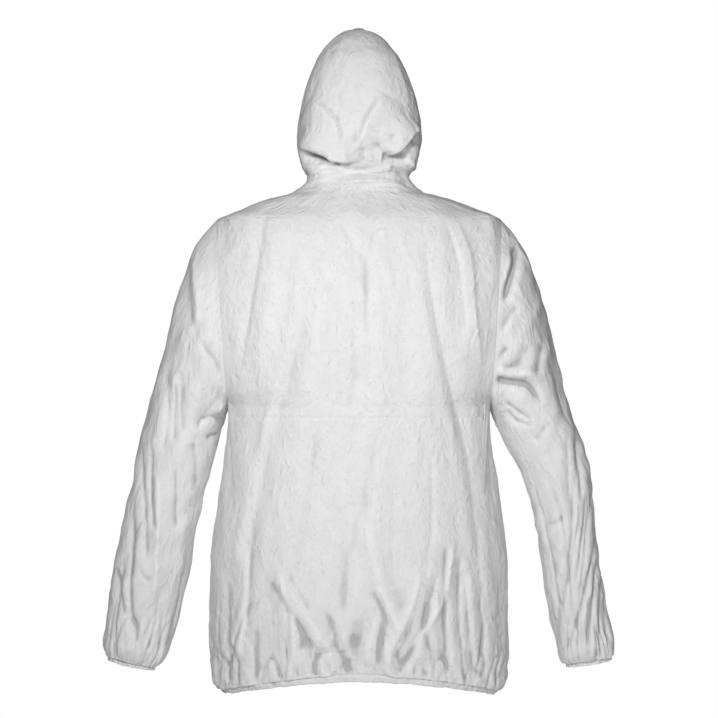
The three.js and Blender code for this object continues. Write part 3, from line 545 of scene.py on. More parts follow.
SLEEVE_FOLDS = {  # rows as in BACK_FOLDS
    "left": [
        ([(224, -65), (222, -105), (219, -150), (218, -225)], -6, 6, 0.6, 1.3),
        ([(211, -85), (212, -150), (206, -230)], 4, 6, 0.2, 1.0),
        ([(276, -110), (270, -170), (264, -225)], -4, 8, 0.4, 1.4),
        ([(262, -115), (256, -170), (252, -220)], 3, 7, 0.3, 1.0),
        ([(250, -245), (236, -264), (224, -284), (214, -300)], -5, 6, 0.5, 1.6),
        ([(198, -325), (215, -330), (232, -350), (245, -372)], -4, 6, 0.6, 1.2),
        ([(206, -345), (216, -348), (224, -362)], 3, 4, 0.4, 1.0),
        ([(208, -378), (229, -368), (246, -371), (254, -388)], -7, 6, 0.6, 1.5),
        ([(206, -383), (222, -393), (242, -400)], -6, 5, 0.6, 1.2),
        ([(281, -290), (281, -345), (276, -390)], -4, 6, 0.6, 1.3),
        ([(292, -310), (293, -355), (291, -405)], -4, 6, 0.6, 1.2),
        ([(305, -290), (303, -350), (309, -420)], -4, 6, 0.5, 1.2),
        ([(345, -400), (345, -450), (340, -500), (336, -550), (334, -605)], -5, 5, 0.7, 1.4),
        ([(329, -400), (329, -460), (325, -520), (321, -545)], -5, 5, 0.7, 1.3),
        ([(323, -450), (317, -480), (318, -545), (321, -610), (323, -690)], 4, 6, 0.4, 1.0),
        ([(358, -495), (361, -550), (361, -610), (360, -670), (352, -700), (348, -728)], -8, 5, 0.7, 1.6),
        ([(387, -605), (379, -645), (370, -680)], -6, 5, 0.7, 1.4),
        ([(262, -405), (256, -435), (256, -485)], -4, 6, 0.5, 1.2),
        ([(289, -435), (289, -490), (288, -545)], -3.5, 5, 0.6, 1.2),
        ([(272, -520), (281, -560), (286, -620)], 3, 9, 0.2, 1.0),
        ([(347, -604), (338, -617), (328, -622)], -2.5, 3.5, 0.6, 1.0),
    ],
    "right": [
        ([(-253, -88), (-248, -118), (-238, -150), (-224, -186)], -13, 8, 0.4, 1.2),
        ([(-244, -105), (-230, -145), (-216, -182), (-209, -205)], 6, 6, 0.3, 1.0),
        ([(-250, -186), (-232, -212), (-210, -238)], -4.5, 9, 0.4, 1.2),
        ([(-234, -254), (-219, -270), (-206, -282)], -5, 6, 0.6, 1.2),
        ([(-268, -252), (-252, -276), (-228, -292)], -4, 8, 0.4, 1.2),
        ([(-204, -296), (-215, -305), (-240, -310), (-262, -313), (-280, -330),
          (-291, -347)], -12, 7, 0.5, 1.6),
        ([(-212, -292), (-238, -298), (-264, -297), (-284, -312)], 6, 8, 0.2, 1.0),
        ([(-230, -343), (-250, -357), (-272, -370)], -5, 5, 0.6, 1.2),
        ([(-232, -354), (-245, -370), (-274, -380)], -5, 5, 0.6, 1.2),
        ([(-292, -248), (-287, -272), (-281, -298)], -5, 7, 0.5, 1.2),
        ([(-298, -268), (-314, -300), (-324, -340), (-336, -385)], -4, 7, 0.5, 1.2),
        ([(-304, -372), (-290, -386), (-276, -404)], -4, 7, 0.5, 1.2),
        ([(-329, -395), (-331, -450), (-333, -505)], -4, 6, 0.6, 1.2),
        ([(-346, -395), (-350, -440), (-352, -500)], -6, 5, 0.6, 1.2),
        ([(-345, -455), (-338, -500), (-337, -545), (-330, -590), (-325, -630),
          (-321, -670)], -6, 4.5, 0.7, 1.4),
        ([(-350, -500), (-347, -540), (-340, -570), (-331, -610), (-327, -640)], -5, 4.5, 0.7, 1.3),
        ([(-359, -480), (-357, -535), (-351, -575), (-344, -615), (-338, -650)], -6, 4.5, 0.7, 1.4),
        ([(-366, -505), (-360, -560), (-355, -605), (-348, -645)], -6, 4.5, 0.7, 1.4),
        ([(-375, -555), (-368, -600), (-358, -640), (-349, -668), (-338, -705),
          (-326, -738)], -8, 5, 0.7, 1.5),
        ([(-379, -590), (-376, -632), (-369, -680), (-360, -735)], -8, 5, 0.6, 1.4),
        ([(-388, -615), (-386, -680), (-381, -742)], -8, 5, 0.6, 1.3),
        ([(-394, -650), (-395, -700), (-392, -738)], -6, 4.5, 0.6, 1.2),
        ([(-296, -500), (-300, -535), (-314, -530), (-324, -518)], -3, 6, 0.4, 1.0),
    ],
}


def sleeve_swell(side_name, angle, at, p, n):
    """As swell, for a sleeve: crinkles, folds down the arm, creases under the arm and cuff gathers."""
    arm = ARMS[side_name]
    x, y, z = p[..., 0], p[..., 1], p[..., 2]
    behind = ease(-0.1, 0.25, n[..., 1])
    rise = (CASING_AT - at) / (1 - CASING_AT) * CASING
    seed = 60 if side_name == "left" else 80
    away_from_cuff = 1 - ease(0.85, 0.95, at)
    girth = arm["cuff"] * 1.1
    ring = (np.cos(angle) * girth, np.sin(angle) * girth)
    lift = crumple(p) * lerp(1.0, 0.45, away_from_cuff)
    long_folds = wander(stack(ring[0], ring[1], at * 130), 30, seed) * 5.5
    lift = lift + long_folds * ease(0.02, 0.2, at) * away_from_cuff * lerp(1, 0.5, behind)
    lift = lift + wander(stack(x + 0.5 * z, y, z), (26, 40, 50), seed + 1) * 3.0 * ease(0.04, 0.12, at)
    lift = lift + drawn_folds(SLEEVE_FOLDS[side_name], x, z) * behind
    lift = lift + gathers(ring, rise, seed + 2, 10.0) * (rise < 220)
    return lift * ease(0, 14, past_armhole(p))


def sleeve_cloth(side_name, skin, angle, at, inset=0.0):
    """A sleeve's points: its smooth surface moved along its normal by the sleeve's swell, less inset.
    Just above the cuff it also sags down the arm, over the elastic."""
    p = skin(angle, at)
    n = outward(skin, angle, at, 2e-3, 5e-4) * -ARMS[side_name]["side"]
    middle = (p + skin(angle + math.pi, at)) / 2
    n = n * np.where(np.sum(n * (p - middle), axis=-1) < 0, -1, 1)[..., None]
    overhang = CUFF_OVERHANG * ease(0.87, 0.945, at) * (1 - ease(0.95, CASING_AT, at))
    fore = math.radians(ARMS[side_name]["fore"])
    down = np.array([ARMS[side_name]["side"] * math.sin(fore), 0, -math.cos(fore)])
    bulge = sleeve_swell(side_name, angle, at, p, n) + 0.35 * overhang - inset
    return p + n * bulge[..., None] + down * overhang[..., None]


# ------------------------------------------------------------------ meshes
def averaged(points, reach, closed):
    """Each grid point's mean with its neighbours up to reach cells away, along the rows and columns."""
    for axis in (0, 1):
        pad = [(reach, reach) if a == axis else (0, 0) for a in range(3)]
        wide = np.pad(points, pad, mode="wrap" if closed and axis == 1 else "edge")
        total = np.cumsum(np.insert(wide, 0, 0, axis=axis), axis=axis)
        count = points.shape[axis]
        ahead = np.take(total, np.arange(count) + 2 * reach + 1, axis=axis)
        points = (ahead - np.take(total, np.arange(count), axis=axis)) / (2 * reach + 1)
    return points


def hollows(points, closed):
    """How far the cloth lies below its own surroundings, in millimetres, at a fine and a broad scale:
    positive in a crease and negative on a ridge. The last mean keeps slanting creases smooth."""
    # The fabric's material paints shade into creases and a highlight onto ridges from this value.
    smooth = averaged(points, 3, closed)
    along = np.gradient(smooth, axis=1)
    up = np.gradient(smooth, axis=0)
    n = np.cross(along, up)
    n = n / np.maximum(np.linalg.norm(n, axis=-1, keepdims=True), 1e-9)
    from_middle = points - points.mean(axis=1, keepdims=True)
    if np.sum(n * from_middle) < 0:
        n = -n
    fine = np.sum((averaged(points, 1, closed) - points) * n, axis=-1)
    broad = np.sum((averaged(points, 4, closed) - points) * n, axis=-1)
    return averaged((fine + 0.35 * broad)[..., None], 1, closed)[..., 0]


def sheet_mesh(name, points, uv, closed=False, wall=0.5, tidy=False):
    """A panel from a grid of points in millimetres, its faces wound to point outwards, with a UV map
    in metres of cloth. closed joins the last column to the first. tidy merges the points that meet at
    a pole or a seam and turns every face outwards. wall is the fabric's thickness. The cut edges are
    sharp, so the shading of one panel runs on into the next."""
    rows, cols = points.shape[:2]
    grid = np.arange(rows * cols).reshape(rows, cols)
    if closed:
        grid = np.concatenate([grid, grid[:, :1]], axis=1)
        uv = np.concatenate([uv, 2 * uv[:, -1:] - uv[:, -2:-1]], axis=1)
    quads = np.stack([grid[:-1, :-1], grid[:-1, 1:], grid[1:, 1:], grid[1:, :-1]], axis=-1).reshape(-1, 4)
    corner = np.stack([uv[:-1, :-1], uv[:-1, 1:], uv[1:, 1:], uv[1:, :-1]], axis=2).reshape(-1, 2)
    mesh = bpy.data.meshes.new(name)
    mesh.vertices.add(rows * cols)
    mesh.vertices.foreach_set("co", (points.reshape(-1, 3) * MM).astype(np.float32).ravel())
    mesh.loops.add(quads.size)
    mesh.loops.foreach_set("vertex_index", quads.ravel().astype(np.int32))
    mesh.polygons.add(len(quads))
    mesh.polygons.foreach_set("loop_start", np.arange(0, quads.size, 4, dtype=np.int32))
    mesh.polygons.foreach_set("use_smooth", np.full(len(quads), True))
    mesh.update(calc_edges=True)
    # hollow: crease depth per point, from which the fabric's material paints shade and highlight
    hollow = mesh.attributes.new("hollow", "FLOAT", "POINT")
    hollow.data.foreach_set("value", hollows(points, closed).astype(np.float32).ravel())
    layer = mesh.uv_layers.new(name="cloth")
    layer.data.foreach_set("uv", (corner * MM).astype(np.float32).ravel())
    mesh.validate()
    edges = np.empty(len(mesh.edges) * 2, np.int32)
    mesh.edges.foreach_get("vertices", edges)
    row, col = np.divmod(edges.reshape(-1, 2), cols)
    rim = (row == 0).all(axis=1) | (row == rows - 1).all(axis=1)
    if not closed:
        rim = rim | (col == 0).all(axis=1) | (col == cols - 1).all(axis=1)
    mesh.attributes.new("sharp_edge", "BOOLEAN", "EDGE").data.foreach_set("value", rim)
    if tidy:
        work = bmesh.new()
        work.from_mesh(mesh)
        bmesh.ops.remove_doubles(work, verts=work.verts, dist=2e-6)
        bmesh.ops.recalc_face_normals(work, faces=work.faces)
        for edge in work.edges:
            edge.smooth = not edge.is_boundary
        work.to_mesh(mesh)
        work.free()
    thing = bpy.data.objects.new(name, mesh)
    bpy.context.scene.collection.objects.link(thing)
    if wall:
        shell = thing.modifiers.new("wall", "SOLIDIFY")
        shell.thickness = wall * MM
        shell.offset = -1
    return thing


def lengths(points):
    """The cloth's own coordinates on a grid: how far along each row and up each column, averaged so
    that both stay straight."""
    across = np.linalg.norm(np.diff(points, axis=1), axis=-1).mean(axis=0)
    up = np.linalg.norm(np.diff(points, axis=0), axis=-1).mean(axis=1)
    u = np.concatenate([[0], np.cumsum(across)])
    v = np.concatenate([[0], np.cumsum(up)])
    return stack(u[None, :], v[:, None])


def flipped(points):
    """The same grid with each row's points in reverse order."""
    return points[:, ::-1]


def angle_at(x, z):
    """The angle round the body at which its surface is x from the middle, on the front half."""
    return np.arcsin(np.clip(np.abs(x) / half_width(z), 0, 1) ** (ROUNDNESS / 2))


def side_angle(z):
    """The angle where a body panel ends: the side seam, or the armhole above the armpit."""
    plane = ARM_MID[0] + (z - ARM_MID[1]) * ARM_RUN[0] / ARM_RUN[1]
    return np.where((z > ARMPIT) & (z < SHOULDER), angle_at(plane, z), math.pi / 2)


def level(curve, angle, start):
    """The height at which the body's surface at each angle meets a line whose height depends on the
    place, found by going round a few times."""
    z = np.full_like(angle, start)
    for _ in range(8):
        z = curve(body_skin(angle, z))
    return z


def rows_of(*bands):
    """Heights up a panel: each band is (start, end, count) with a shared row where two meet."""
    parts = [np.linspace(a, b, n)[(1 if i else 0):] for i, (a, b, n) in enumerate(bands)]
    return np.concatenate(parts)


def spread(start, end, cols):
    """Angles across each row, evenly from its start to its end."""
    return start[:, None] + (end - start)[:, None] * np.linspace(0, 1, cols)[None, :]


def top_of_casing(p):
    """The height where the hem's tunnel ends and the panels start."""
    return hem_line(p) + CASING


def on_rows(z, angle):
    """One height for each row, repeated at every angle of the row."""
    return np.broadcast_to(z[:, None], angle.shape)


def back_edges(z):
    """The angles where a back panel starts and ends at each height, from side to side."""
    return math.pi - side_angle(z), math.pi + side_angle(z)


def front_edges(z, side):
    """The angles where a front panel starts beside the zip and ends at its side, at each height."""
    zip_angle = angle_at(np.full_like(z, ZIP_EDGE), z)
    return side * zip_angle, side * side_angle(z)


def neck_rows(start, end, cols, count):
    """Rows between the shoulder tips and the neck seam, from a start angle to an end angle: each is a
    share of the way up at every angle. They end at the shoulder seams, a quarter turn from the back."""
    angle = spread(np.full(count, start), np.full(count, end), cols)
    top = level(neck_line, angle[:1], NECK_GUESS)
    return angle[1:], lerp(SHOULDER, top, np.linspace(0, 1, count)[1:, None])


def back_yoke_grid(cols=230):
    """Level rows from the waist seam to the shoulder tips, then rows that rise to the neck seam."""
    z = rows_of((WAIST_SEAM, ARMPIT, 8), (ARMPIT, SHOULDER, 164))
    angle = spread(*back_edges(z), cols)
    upper_angle, upper_z = neck_rows(math.pi / 2, 3 * math.pi / 2, cols, 32)
    return np.concatenate([angle, upper_angle]), np.concatenate([on_rows(z, angle), upper_z])


def back_skirt_grid(cols=220):
    """Rows that each lie a share of the way from the hem's tunnel to the waist seam."""
    share = np.linspace(0, 1, 222)[:, None]
    angle = np.linspace(math.pi / 2, 3 * math.pi / 2, cols)[None, :]
    bottom = level(top_of_casing, angle, HEM_GUESS)
    return np.broadcast_to(angle, (222, cols)).copy(), lerp(bottom, WAIST_SEAM, share)


def front_grid(side, cols=116):
    """Rows from the hem's tunnel to the armpit, level rows up the armhole, and rows to the neck seam."""
    share = np.linspace(0, 1, 230)[:, None]
    low_start, low_end = front_edges(np.full(1, ZIP_FOOT), side)
    angle_low = spread(low_start, low_end, cols)
    bottom = level(top_of_casing, angle_low, HEM_GUESS)
    z_low = lerp(bottom, ARMPIT, share)
    start, end = front_edges(z_low[:, 0], side)
    angle_low = spread(start, np.full_like(start, side * math.pi / 2), cols)
    z = np.linspace(ARMPIT, SHOULDER, 160)[1:]
    angle_mid = spread(*front_edges(z, side), cols)
    beside_zip = front_edges(np.array([float(SHOULDER)]), side)[0][0]
    angle_top, z_top = neck_rows(beside_zip, side * math.pi / 2, cols, 28)
    return (np.concatenate([angle_low, angle_mid, angle_top]),
            np.concatenate([z_low, on_rows(z, angle_mid), z_top]))


def neck_grid(cols=330, rows=26):
    """Rows from the tilted neck seam to the level foot of the hood, from one zip edge to the other."""
    edge = float(angle_at(np.array([ZIP_EDGE]), np.array([0.0]))[0])
    angle = np.linspace(edge, 2 * math.pi - edge, cols)[None, :]
    bottom = level(neck_line, angle, NECK_GUESS)
    z = lerp(bottom, HOOD_BASE, np.linspace(0, 1, rows)[:, None])
    return np.broadcast_to(angle, z.shape).copy(), z


def face_angle(z, plane):
    """The angle at which the hood's surface meets the plane of the face opening."""
    return np.arccos(np.minimum(1, plane / front_depth(z)) ** (ROUNDNESS / 2))


def hood_grid(side, cols=150, rows=190):
    """Rows up the hood that close up near the crown, each from the face opening, or from the zip
    below it, round to the middle of the back."""
    t = np.linspace(0, 1, rows)
    z = HOOD_BASE + (CROWN - HOOD_BASE) * np.sin(t * math.pi / 2) ** 1.15
    beside_zip = np.where(z < hood(0.25), angle_at(np.full_like(z, ZIP_EDGE), z), 0)
    start = np.maximum(face_angle(z, FACE_PLANE - CASING * 0.6), beside_zip)
    angle = spread(side * start, np.full_like(z, side * math.pi), cols)
    return angle, on_rows(z, angle)


# ------------------------------------------------------------------ shader shorthand
OBJECT_SPACE, ATTRIBUTE_VALUE, MIXED_COLOUR = 3, 2, 2  # places among a node's outputs


class Wire:
    """A number or colour in a material, for writing shader sums as plain expressions."""

    def __init__(self, finish, socket):
        self.finish, self.socket = finish, socket

    def _sum(self, operation, a, b):
        return self.finish.node("ShaderNodeMath", dict(operation=operation), {0: a, 1: b})

    def __add__(self, other):
        return self._sum("ADD", self, other)

    __radd__ = __add__

    def __rsub__(self, other):
        return self._sum("SUBTRACT", other, self)

    def __mul__(self, other):
        return self._sum("MULTIPLY", self, other)

    __rmul__ = __mul__


class Finish:
    """A material made of procedural nodes."""

    def __init__(self, name):
        self.material = bpy.data.materials.new(name)
        self.material.use_nodes = True
        self.tree = self.material.node_tree
        self.tree.nodes.clear()
        self.shader = self.tree.nodes.new("ShaderNodeBsdfPrincipled")
        out = self.tree.nodes.new("ShaderNodeOutputMaterial")
        self.tree.links.new(self.shader.outputs[0], out.inputs[0])

    def feed(self, socket, value):
        if isinstance(value, Wire):
            self.tree.links.new(value.socket, socket)
        else:
            socket.default_value = value

    def node(self, kind, settings=None, inputs=None, output=0):
        """A node of that type: its settings first, then its sockets' values and links."""
        made = self.tree.nodes.new(kind)
        for key, value in (settings or {}).items():
            setattr(made, key, value)
        for key, value in (inputs or {}).items():
            self.feed(made.inputs[key], value)
        return Wire(self, made.outputs[output])

    def ramp(self, value, low, high):
        return self.node("ShaderNodeMapRange", dict(interpolation_type="SMOOTHSTEP"),
                         {"Value": value, "From Min": low, "From Max": high})

    def mix(self, share, a, b):
        return self.node("ShaderNodeMix", dict(data_type="RGBA"), {0: share, 6: a, 7: b}, MIXED_COLOUR)

    def set(self, **values):
        for key, value in values.items():
            self.feed(self.shader.inputs[key.replace("_", " ")], value)
        return self.material


def stretched(finish, source, scale):
    """A pattern's coordinates, each times its own scale."""
    return finish.node("ShaderNodeVectorMath", dict(operation="MULTIPLY"), {0: source, 1: scale})


def crinkled_fabric(name):
    """Flash-spun fabric: near white, with faint fibre clouds, a network of fine bumped creases whose
    raised lines carry a painted highlight, and a slightly glossy skin. Its colour holds painted shade,
    greyer in the bottom of a crease, and a painted highlight, brighter on a ridge."""
    f = Finish(name)
    cloth_uv = f.node("ShaderNodeUVMap", dict(uv_map="cloth"))

    def creases(scale, lean, detail, distortion):
        return f.node("ShaderNodeTexNoise", dict(noise_type="RIDGED_MULTIFRACTAL"), {
            "Vector": stretched(f, cloth_uv, (1, lean, 1)), "Scale": scale, "Detail": detail,
            "Roughness": 0.6, "Distortion": distortion})

    broad = creases(26.0, 0.4, 3.0, 0.5)
    wrinkle = creases(80.0, 0.55, 4.0, 0.4)
    fine = creases(230.0, 0.6, 3.0, 0.6)
    fibre = f.node("ShaderNodeTexNoise", None, {"Vector": cloth_uv, "Scale": 900.0, "Detail": 3.0})
    cloud = f.node("ShaderNodeTexNoise", None, {"Vector": stretched(f, cloth_uv, (1, 0.7, 1)),
                                               "Scale": 38.0, "Detail": 6.0, "Roughness": 0.65})
    height = broad + wrinkle * 0.8 + fine * 0.45 + fibre * 0.1
    hollow = f.node("ShaderNodeAttribute", dict(attribute_name="hollow"), None, ATTRIBUTE_VALUE)
    # tone: faint fibre clouds, the cloth's own colour, plus a painted highlight along the raised lines of the
    # crease noise; it also sets the roughness
    tone = f.ramp(cloud, 0.3, 0.72) * 0.4 + f.ramp(wrinkle + fine, 0.3, 2.2) * 0.6
    plain = f.mix(tone, (0.80, 0.802, 0.808, 1), (0.90, 0.90, 0.90, 1))
    # painted highlight: ridges, where the hollow value is below zero, are painted near white
    ridge_highlighted = f.mix(f.ramp(0 - hollow, 0.05, 1.2) * 0.55, plain, (0.97, 0.97, 0.97, 1))
    # painted shade: creases, where the hollow value is above zero, are painted dark grey
    colour = f.mix(f.ramp(hollow, 0.04, 1.0) * 0.75, ridge_highlighted, (0.40, 0.405, 0.42, 1))
    bump = f.node("ShaderNodeBump", None, {"Strength": 1.0, "Distance": 0.0026, "Height": height})
    return f.set(Base_Color=colour, Roughness=0.6 - 0.14 * tone, Normal=bump,
                 Specular_IOR_Level=0.4)


def banded(name, place, direction, bands, tones, roughness, bump):
    """A finish of fine bands: a wave pattern runs the colour from the first tone to the second, and
    raises the surface by the bump's strength and depth. place is cloth for the piece's own map, and
    space for metres in the frame."""
    f = Finish(name)
    if place == "cloth":
        where = f.node("ShaderNodeUVMap", dict(uv_map="cloth"))
    else:
        where = f.node("ShaderNodeTexCoord", None, None, OBJECT_SPACE)
    wave = f.node("ShaderNodeTexWave", dict(wave_type="BANDS", bands_direction=direction),
                  {"Vector": where, **bands})
    strength, depth = bump
    raised = f.node("ShaderNodeBump", None, {"Strength": strength, "Distance": depth, "Height": wave})
    return f.set(Base_Color=f.mix(wave, *tones), Roughness=roughness, Normal=raised)


def stitched_thread():
    """Overlock thread: close slanting loops along the seam."""
    return banded("overlock_thread", "cloth", "DIAGONAL", {"Scale": 260.0, "Distortion": 1.5, "Detail": 2.0},
                  ((0.78, 0.78, 0.77, 1), (0.92, 0.92, 0.9, 1)), 0.75, (0.5, 0.0005))


def knitted_elastic():
    """Flat braided elastic: fine ribs along its length."""
    return banded("braided_elastic", "cloth", "Y", {"Scale": 300.0, "Distortion": 0.6},
                  ((0.7, 0.68, 0.63, 1), (0.82, 0.8, 0.75, 1)), 0.8, (0.4, 0.0004))


def woven_tape():
    """The zip's tape: a fine slanting weave."""
    return banded("zip_tape_weave", "space", "DIAGONAL", {"Scale": 420.0, "Distortion": 0.8},
                  ((0.76, 0.76, 0.75, 1), (0.86, 0.86, 0.85, 1)), 0.8, (0.4, 0.0004))


def nylon_coil():
    """The zip's interlocked coils: close ridges across the zip."""
    return banded("nylon_coil", "space", "Z", {"Scale": 210.0},
                  ((0.6, 0.6, 0.59, 1), (0.9, 0.9, 0.88, 1)), 0.35, (0.8, 0.0012))


def brushed_metal():
    """The zip's metal: grey with a fine grain drawn out up and down, that is rougher where lighter."""
    f = Finish("zip_metal")
    place = f.node("ShaderNodeTexCoord", None, None, OBJECT_SPACE)
    grain = f.node("ShaderNodeTexNoise", None, {
        "Vector": stretched(f, place, (1, 1, 0.1)), "Scale": 1500.0, "Detail": 3.0})
    return f.set(Base_Color=f.mix(grain, (0.55, 0.56, 0.57, 1), (0.75, 0.76, 0.77, 1)), Metallic=1.0,
                 Roughness=0.22 + 0.2 * grain)


FABRIC = crinkled_fabric("nonwoven_fabric")
THREAD = stitched_thread()
ELASTIC = knitted_elastic()


def finish_piece(thing, material, body, slot, *replaced):
    """A piece's material, the CAD nodes it stands for and the body it moves with. The slot is not used."""
    thing.data.materials.append(material)
    if replaced:
        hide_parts(*replaced)
    if body:
        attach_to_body(thing, body)
    return thing


def ride_torso(piece):
    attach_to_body(piece, "torso")


def bend_at_neck(piece):
    """Bakes the piece's placement into its mesh."""
    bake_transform(piece)


def flat_size(points):
    """A panel's cut size in metres: its longest row and its longest column."""
    p = points * MM
    wide = np.linalg.norm(np.diff(p, axis=1), axis=-1).sum(axis=1).max()
    long = np.linalg.norm(np.diff(p, axis=0), axis=-1).sum(axis=0).max()
    cells = np.cross(p[1:, :-1] - p[:-1, :-1], p[:-1, 1:] - p[:-1, :-1])
    return float(wide), float(long), float(np.linalg.norm(cells, axis=-1).sum())


def declare(points):
    """A sheet's flat size and area, worked out from its own grid and not used further."""
    wide, long, area = flat_size(points)


# ------------------------------------------------------------------ the body's panels
def crowned(points, rows=6):
    """A hood panel with its small top ring closed: rows that shrink to the middle as they rise."""
    top = points[-1:]
    middle = (top[:, :1] + top[:, -1:]) / 2
    share = np.linspace(0, 1, rows + 1)[1:, None, None]
    cap = lerp(top, middle, share) + np.array([0, 0, 1.6]) * np.sqrt(1 - (1 - share) ** 2)
    return np.concatenate([points, cap])


def panel(name, grid, mirror, body, *replaced, shape=lambda points: points):
    """A fabric panel over the body's surface on a grid of angles and heights."""
    angle, z = grid
    points = shape(cloth(body_skin, angle, z))
    if mirror:
        points = flipped(points)
    thing = sheet_mesh(name, points, lengths(points))
    finish_piece(thing, FABRIC, body, "fabric", *replaced)
    declare(points)
    return thing


panel("back_yoke", back_yoke_grid(), False, "torso", "back_yoke_panel")
panel("back_skirt", back_skirt_grid(), False, "torso", "back_skirt_panel")
panel("front_left", front_grid(1), False, "torso", "front_panel_left")
panel("front_right", front_grid(-1), True, "torso", "front_panel_right")
panel("neck_band_cloth", neck_grid(), False, "torso", "neck_band")

for side, name in ((1, "left"), (-1, "right")):
    bend_at_neck(panel(f"hood_{name}", hood_grid(side), side < 0, None, f"hood_panel_{name}", shape=crowned))

SKINS = {name: sleeve_skin(arm) for name, arm in ARMS.items()}
for name, arm in ARMS.items():
    at = np.concatenate([np.linspace(0, 0.3, 90), np.linspace(0.3, CASING_AT, 150)[1:]])[:, None]
    turn = np.linspace(0, 2 * math.pi, 201)[None, :-1] + math.pi
    points = sleeve_cloth(name, SKINS[name], turn + 0 * at, at + 0 * turn)
    made = sheet_mesh(f"sleeve_{name}_cloth", points, lengths(points), closed=True)
    finish_piece(made, FABRIC, None, "fabric", f"sleeve_{name}")
    declare(points)
    side = arm["side"]
    start = (side * ARM_MID[0] * MM, 0, ARM_MID[1] * MM)
    away = SLEEVE_SOFT * MM
    end = (start[0] + side * ARM_OUT[0] * away, 0, start[2] + ARM_OUT[1] * away)
    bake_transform(made)

# ------------------------------------------------------------------ elastic tunnels
TUNNEL_DEEP = 4.4
ELASTIC_FROM, ELASTIC_TO, ELASTIC_FOOT, ELASTIC_HIGH = 1.6, 2.8, 1.6, 7.0


def folded_edge():
    """The section of a turned-up edge, as height above the fold and depth under the outer face: up
    the inner face, reversed, round the fold in a half circle, and up the outer face to a tucked top."""
    r = TUNNEL_DEEP / 2
    turn = np.linspace(0, math.pi, 9)
    outer = np.linspace(r, CASING + 1.5, 16)[1:]
    high = np.concatenate([np.linspace(CASING, r, 7)[:-1], r - r * np.sin(turn), outer])
    tuck = 0.9 * ease(CASING - 1.5, CASING + 1.5, outer)
    deep = np.concatenate([np.full(6, TUNNEL_DEEP), r + r * np.cos(turn), tuck])
    return high[:, None], deep[:, None]


def ribbon_edge(count=20):
    """The closed section of a flat elastic with round edges."""
    t = np.linspace(0, 2 * math.pi, count)
    across, along = -np.cos(t), np.sin(t)
    half = (ELASTIC_TO - ELASTIC_FROM) / 2
    deep = ELASTIC_FROM + half + half * np.sign(across) * np.abs(across) ** 0.5
    high = ELASTIC_FOOT + ELASTIC_HIGH / 2 * (1 + np.sign(along) * np.abs(along) ** 0.5)
    return high[:, None], deep[:, None]


def pinched(points):
    """A ribbon's grid with its two ends drawn to a point, so that it is closed."""
    ends = [np.broadcast_to(points[:, i].mean(axis=0), points[:, i].shape)[:, None] for i in (0, -1)]
    return np.concatenate([ends[0], points, ends[1]], axis=1)


def edge_pieces(name, place, closed, casing_node, elastic_node, attach):
    """The fabric tunnel of one elastic edge and the elastic in it. place(height, depth) gives the
    points at a height above the edge's fold and a depth under its outer face."""
    points = place(*folded_edge())
    tunnel = sheet_mesh(f"{name}_tunnel", points, lengths(points), closed=closed, tidy=True)
    finish_piece(tunnel, FABRIC, None, "fabric", casing_node)
    declare(points)
    attach(tunnel)
    points = place(*ribbon_edge())
    if not closed:
        points = pinched(points)
    ribbon = sheet_mesh(f"{name}_elastic_band", points, lengths(points), closed=closed, wall=0, tidy=True)
    finish_piece(ribbon, ELASTIC, None, "elastic", elastic_node)
    attach(ribbon)


def scallop(a, b, seed):
    """The wavy lower line of a gathered edge."""
    return 1.3 * wander(stack(a, b, 0), 10, seed)


def hem_place(high, deep, cols=520):
    """The hem's points from one zip edge round to the other, above its curved, wavy fold."""
    edge = float(angle_at(np.array([ZIP_EDGE]), np.array([ZIP_FOOT]))[0])
    angle = np.linspace(edge, 2 * math.pi - edge, cols)[None, :]
    fold_z = level(hem_line, angle, HEM_GUESS)
    at_fold = body_skin(angle, fold_z)
    wave = scallop(at_fold[..., 0], at_fold[..., 1], 33) * (1 - ease(0, CASING, high))
    return cloth(body_skin, angle + 0 * high, fold_z + high + wave, deep)


edge_pieces("hem", hem_place, False, "hem_casing", "hem_elastic", ride_torso)


def cuff_place(name):
    """A cuff's points all round the wrist: heights are shares of the sleeve's length."""
    def place(high, deep, cols=200):
        turn = np.linspace(0, 2 * math.pi, cols + 1)[None, :-1] + math.pi
        girth = ARMS[name]["cuff"]
        wave = scallop(np.cos(turn) * girth, np.sin(turn) * girth, 34) * (1 - ease(0, CASING, high))
        at = 1 - (high + wave) / CASING * (1 - CASING_AT)
        return sleeve_cloth(name, SKINS[name], turn + 0 * high, at, deep)
    return place


for name in ARMS:
    edge_pieces(f"cuff_{name}", cuff_place(name), True, f"cuff_casing_{name}",
                f"cuff_elastic_{name}", lambda piece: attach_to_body(piece, f"{name}_sleeve"))

FACE_MIDDLE, FACE_REACH, FACE_FOOT = 138, 125, 52


def face_skin(turn, plane):
    """The hood's surface round the face: at each turn from straight up, seen from the front, where it
    is as far forward as the plane."""
    turn, plane = np.broadcast_arrays(turn, plane)

    def place(r):
        return r * np.sin(turn), -plane, FACE_MIDDLE + r * np.cos(turn)

    return stack(*place(reach_out(place, turn.shape, FACE_REACH)))


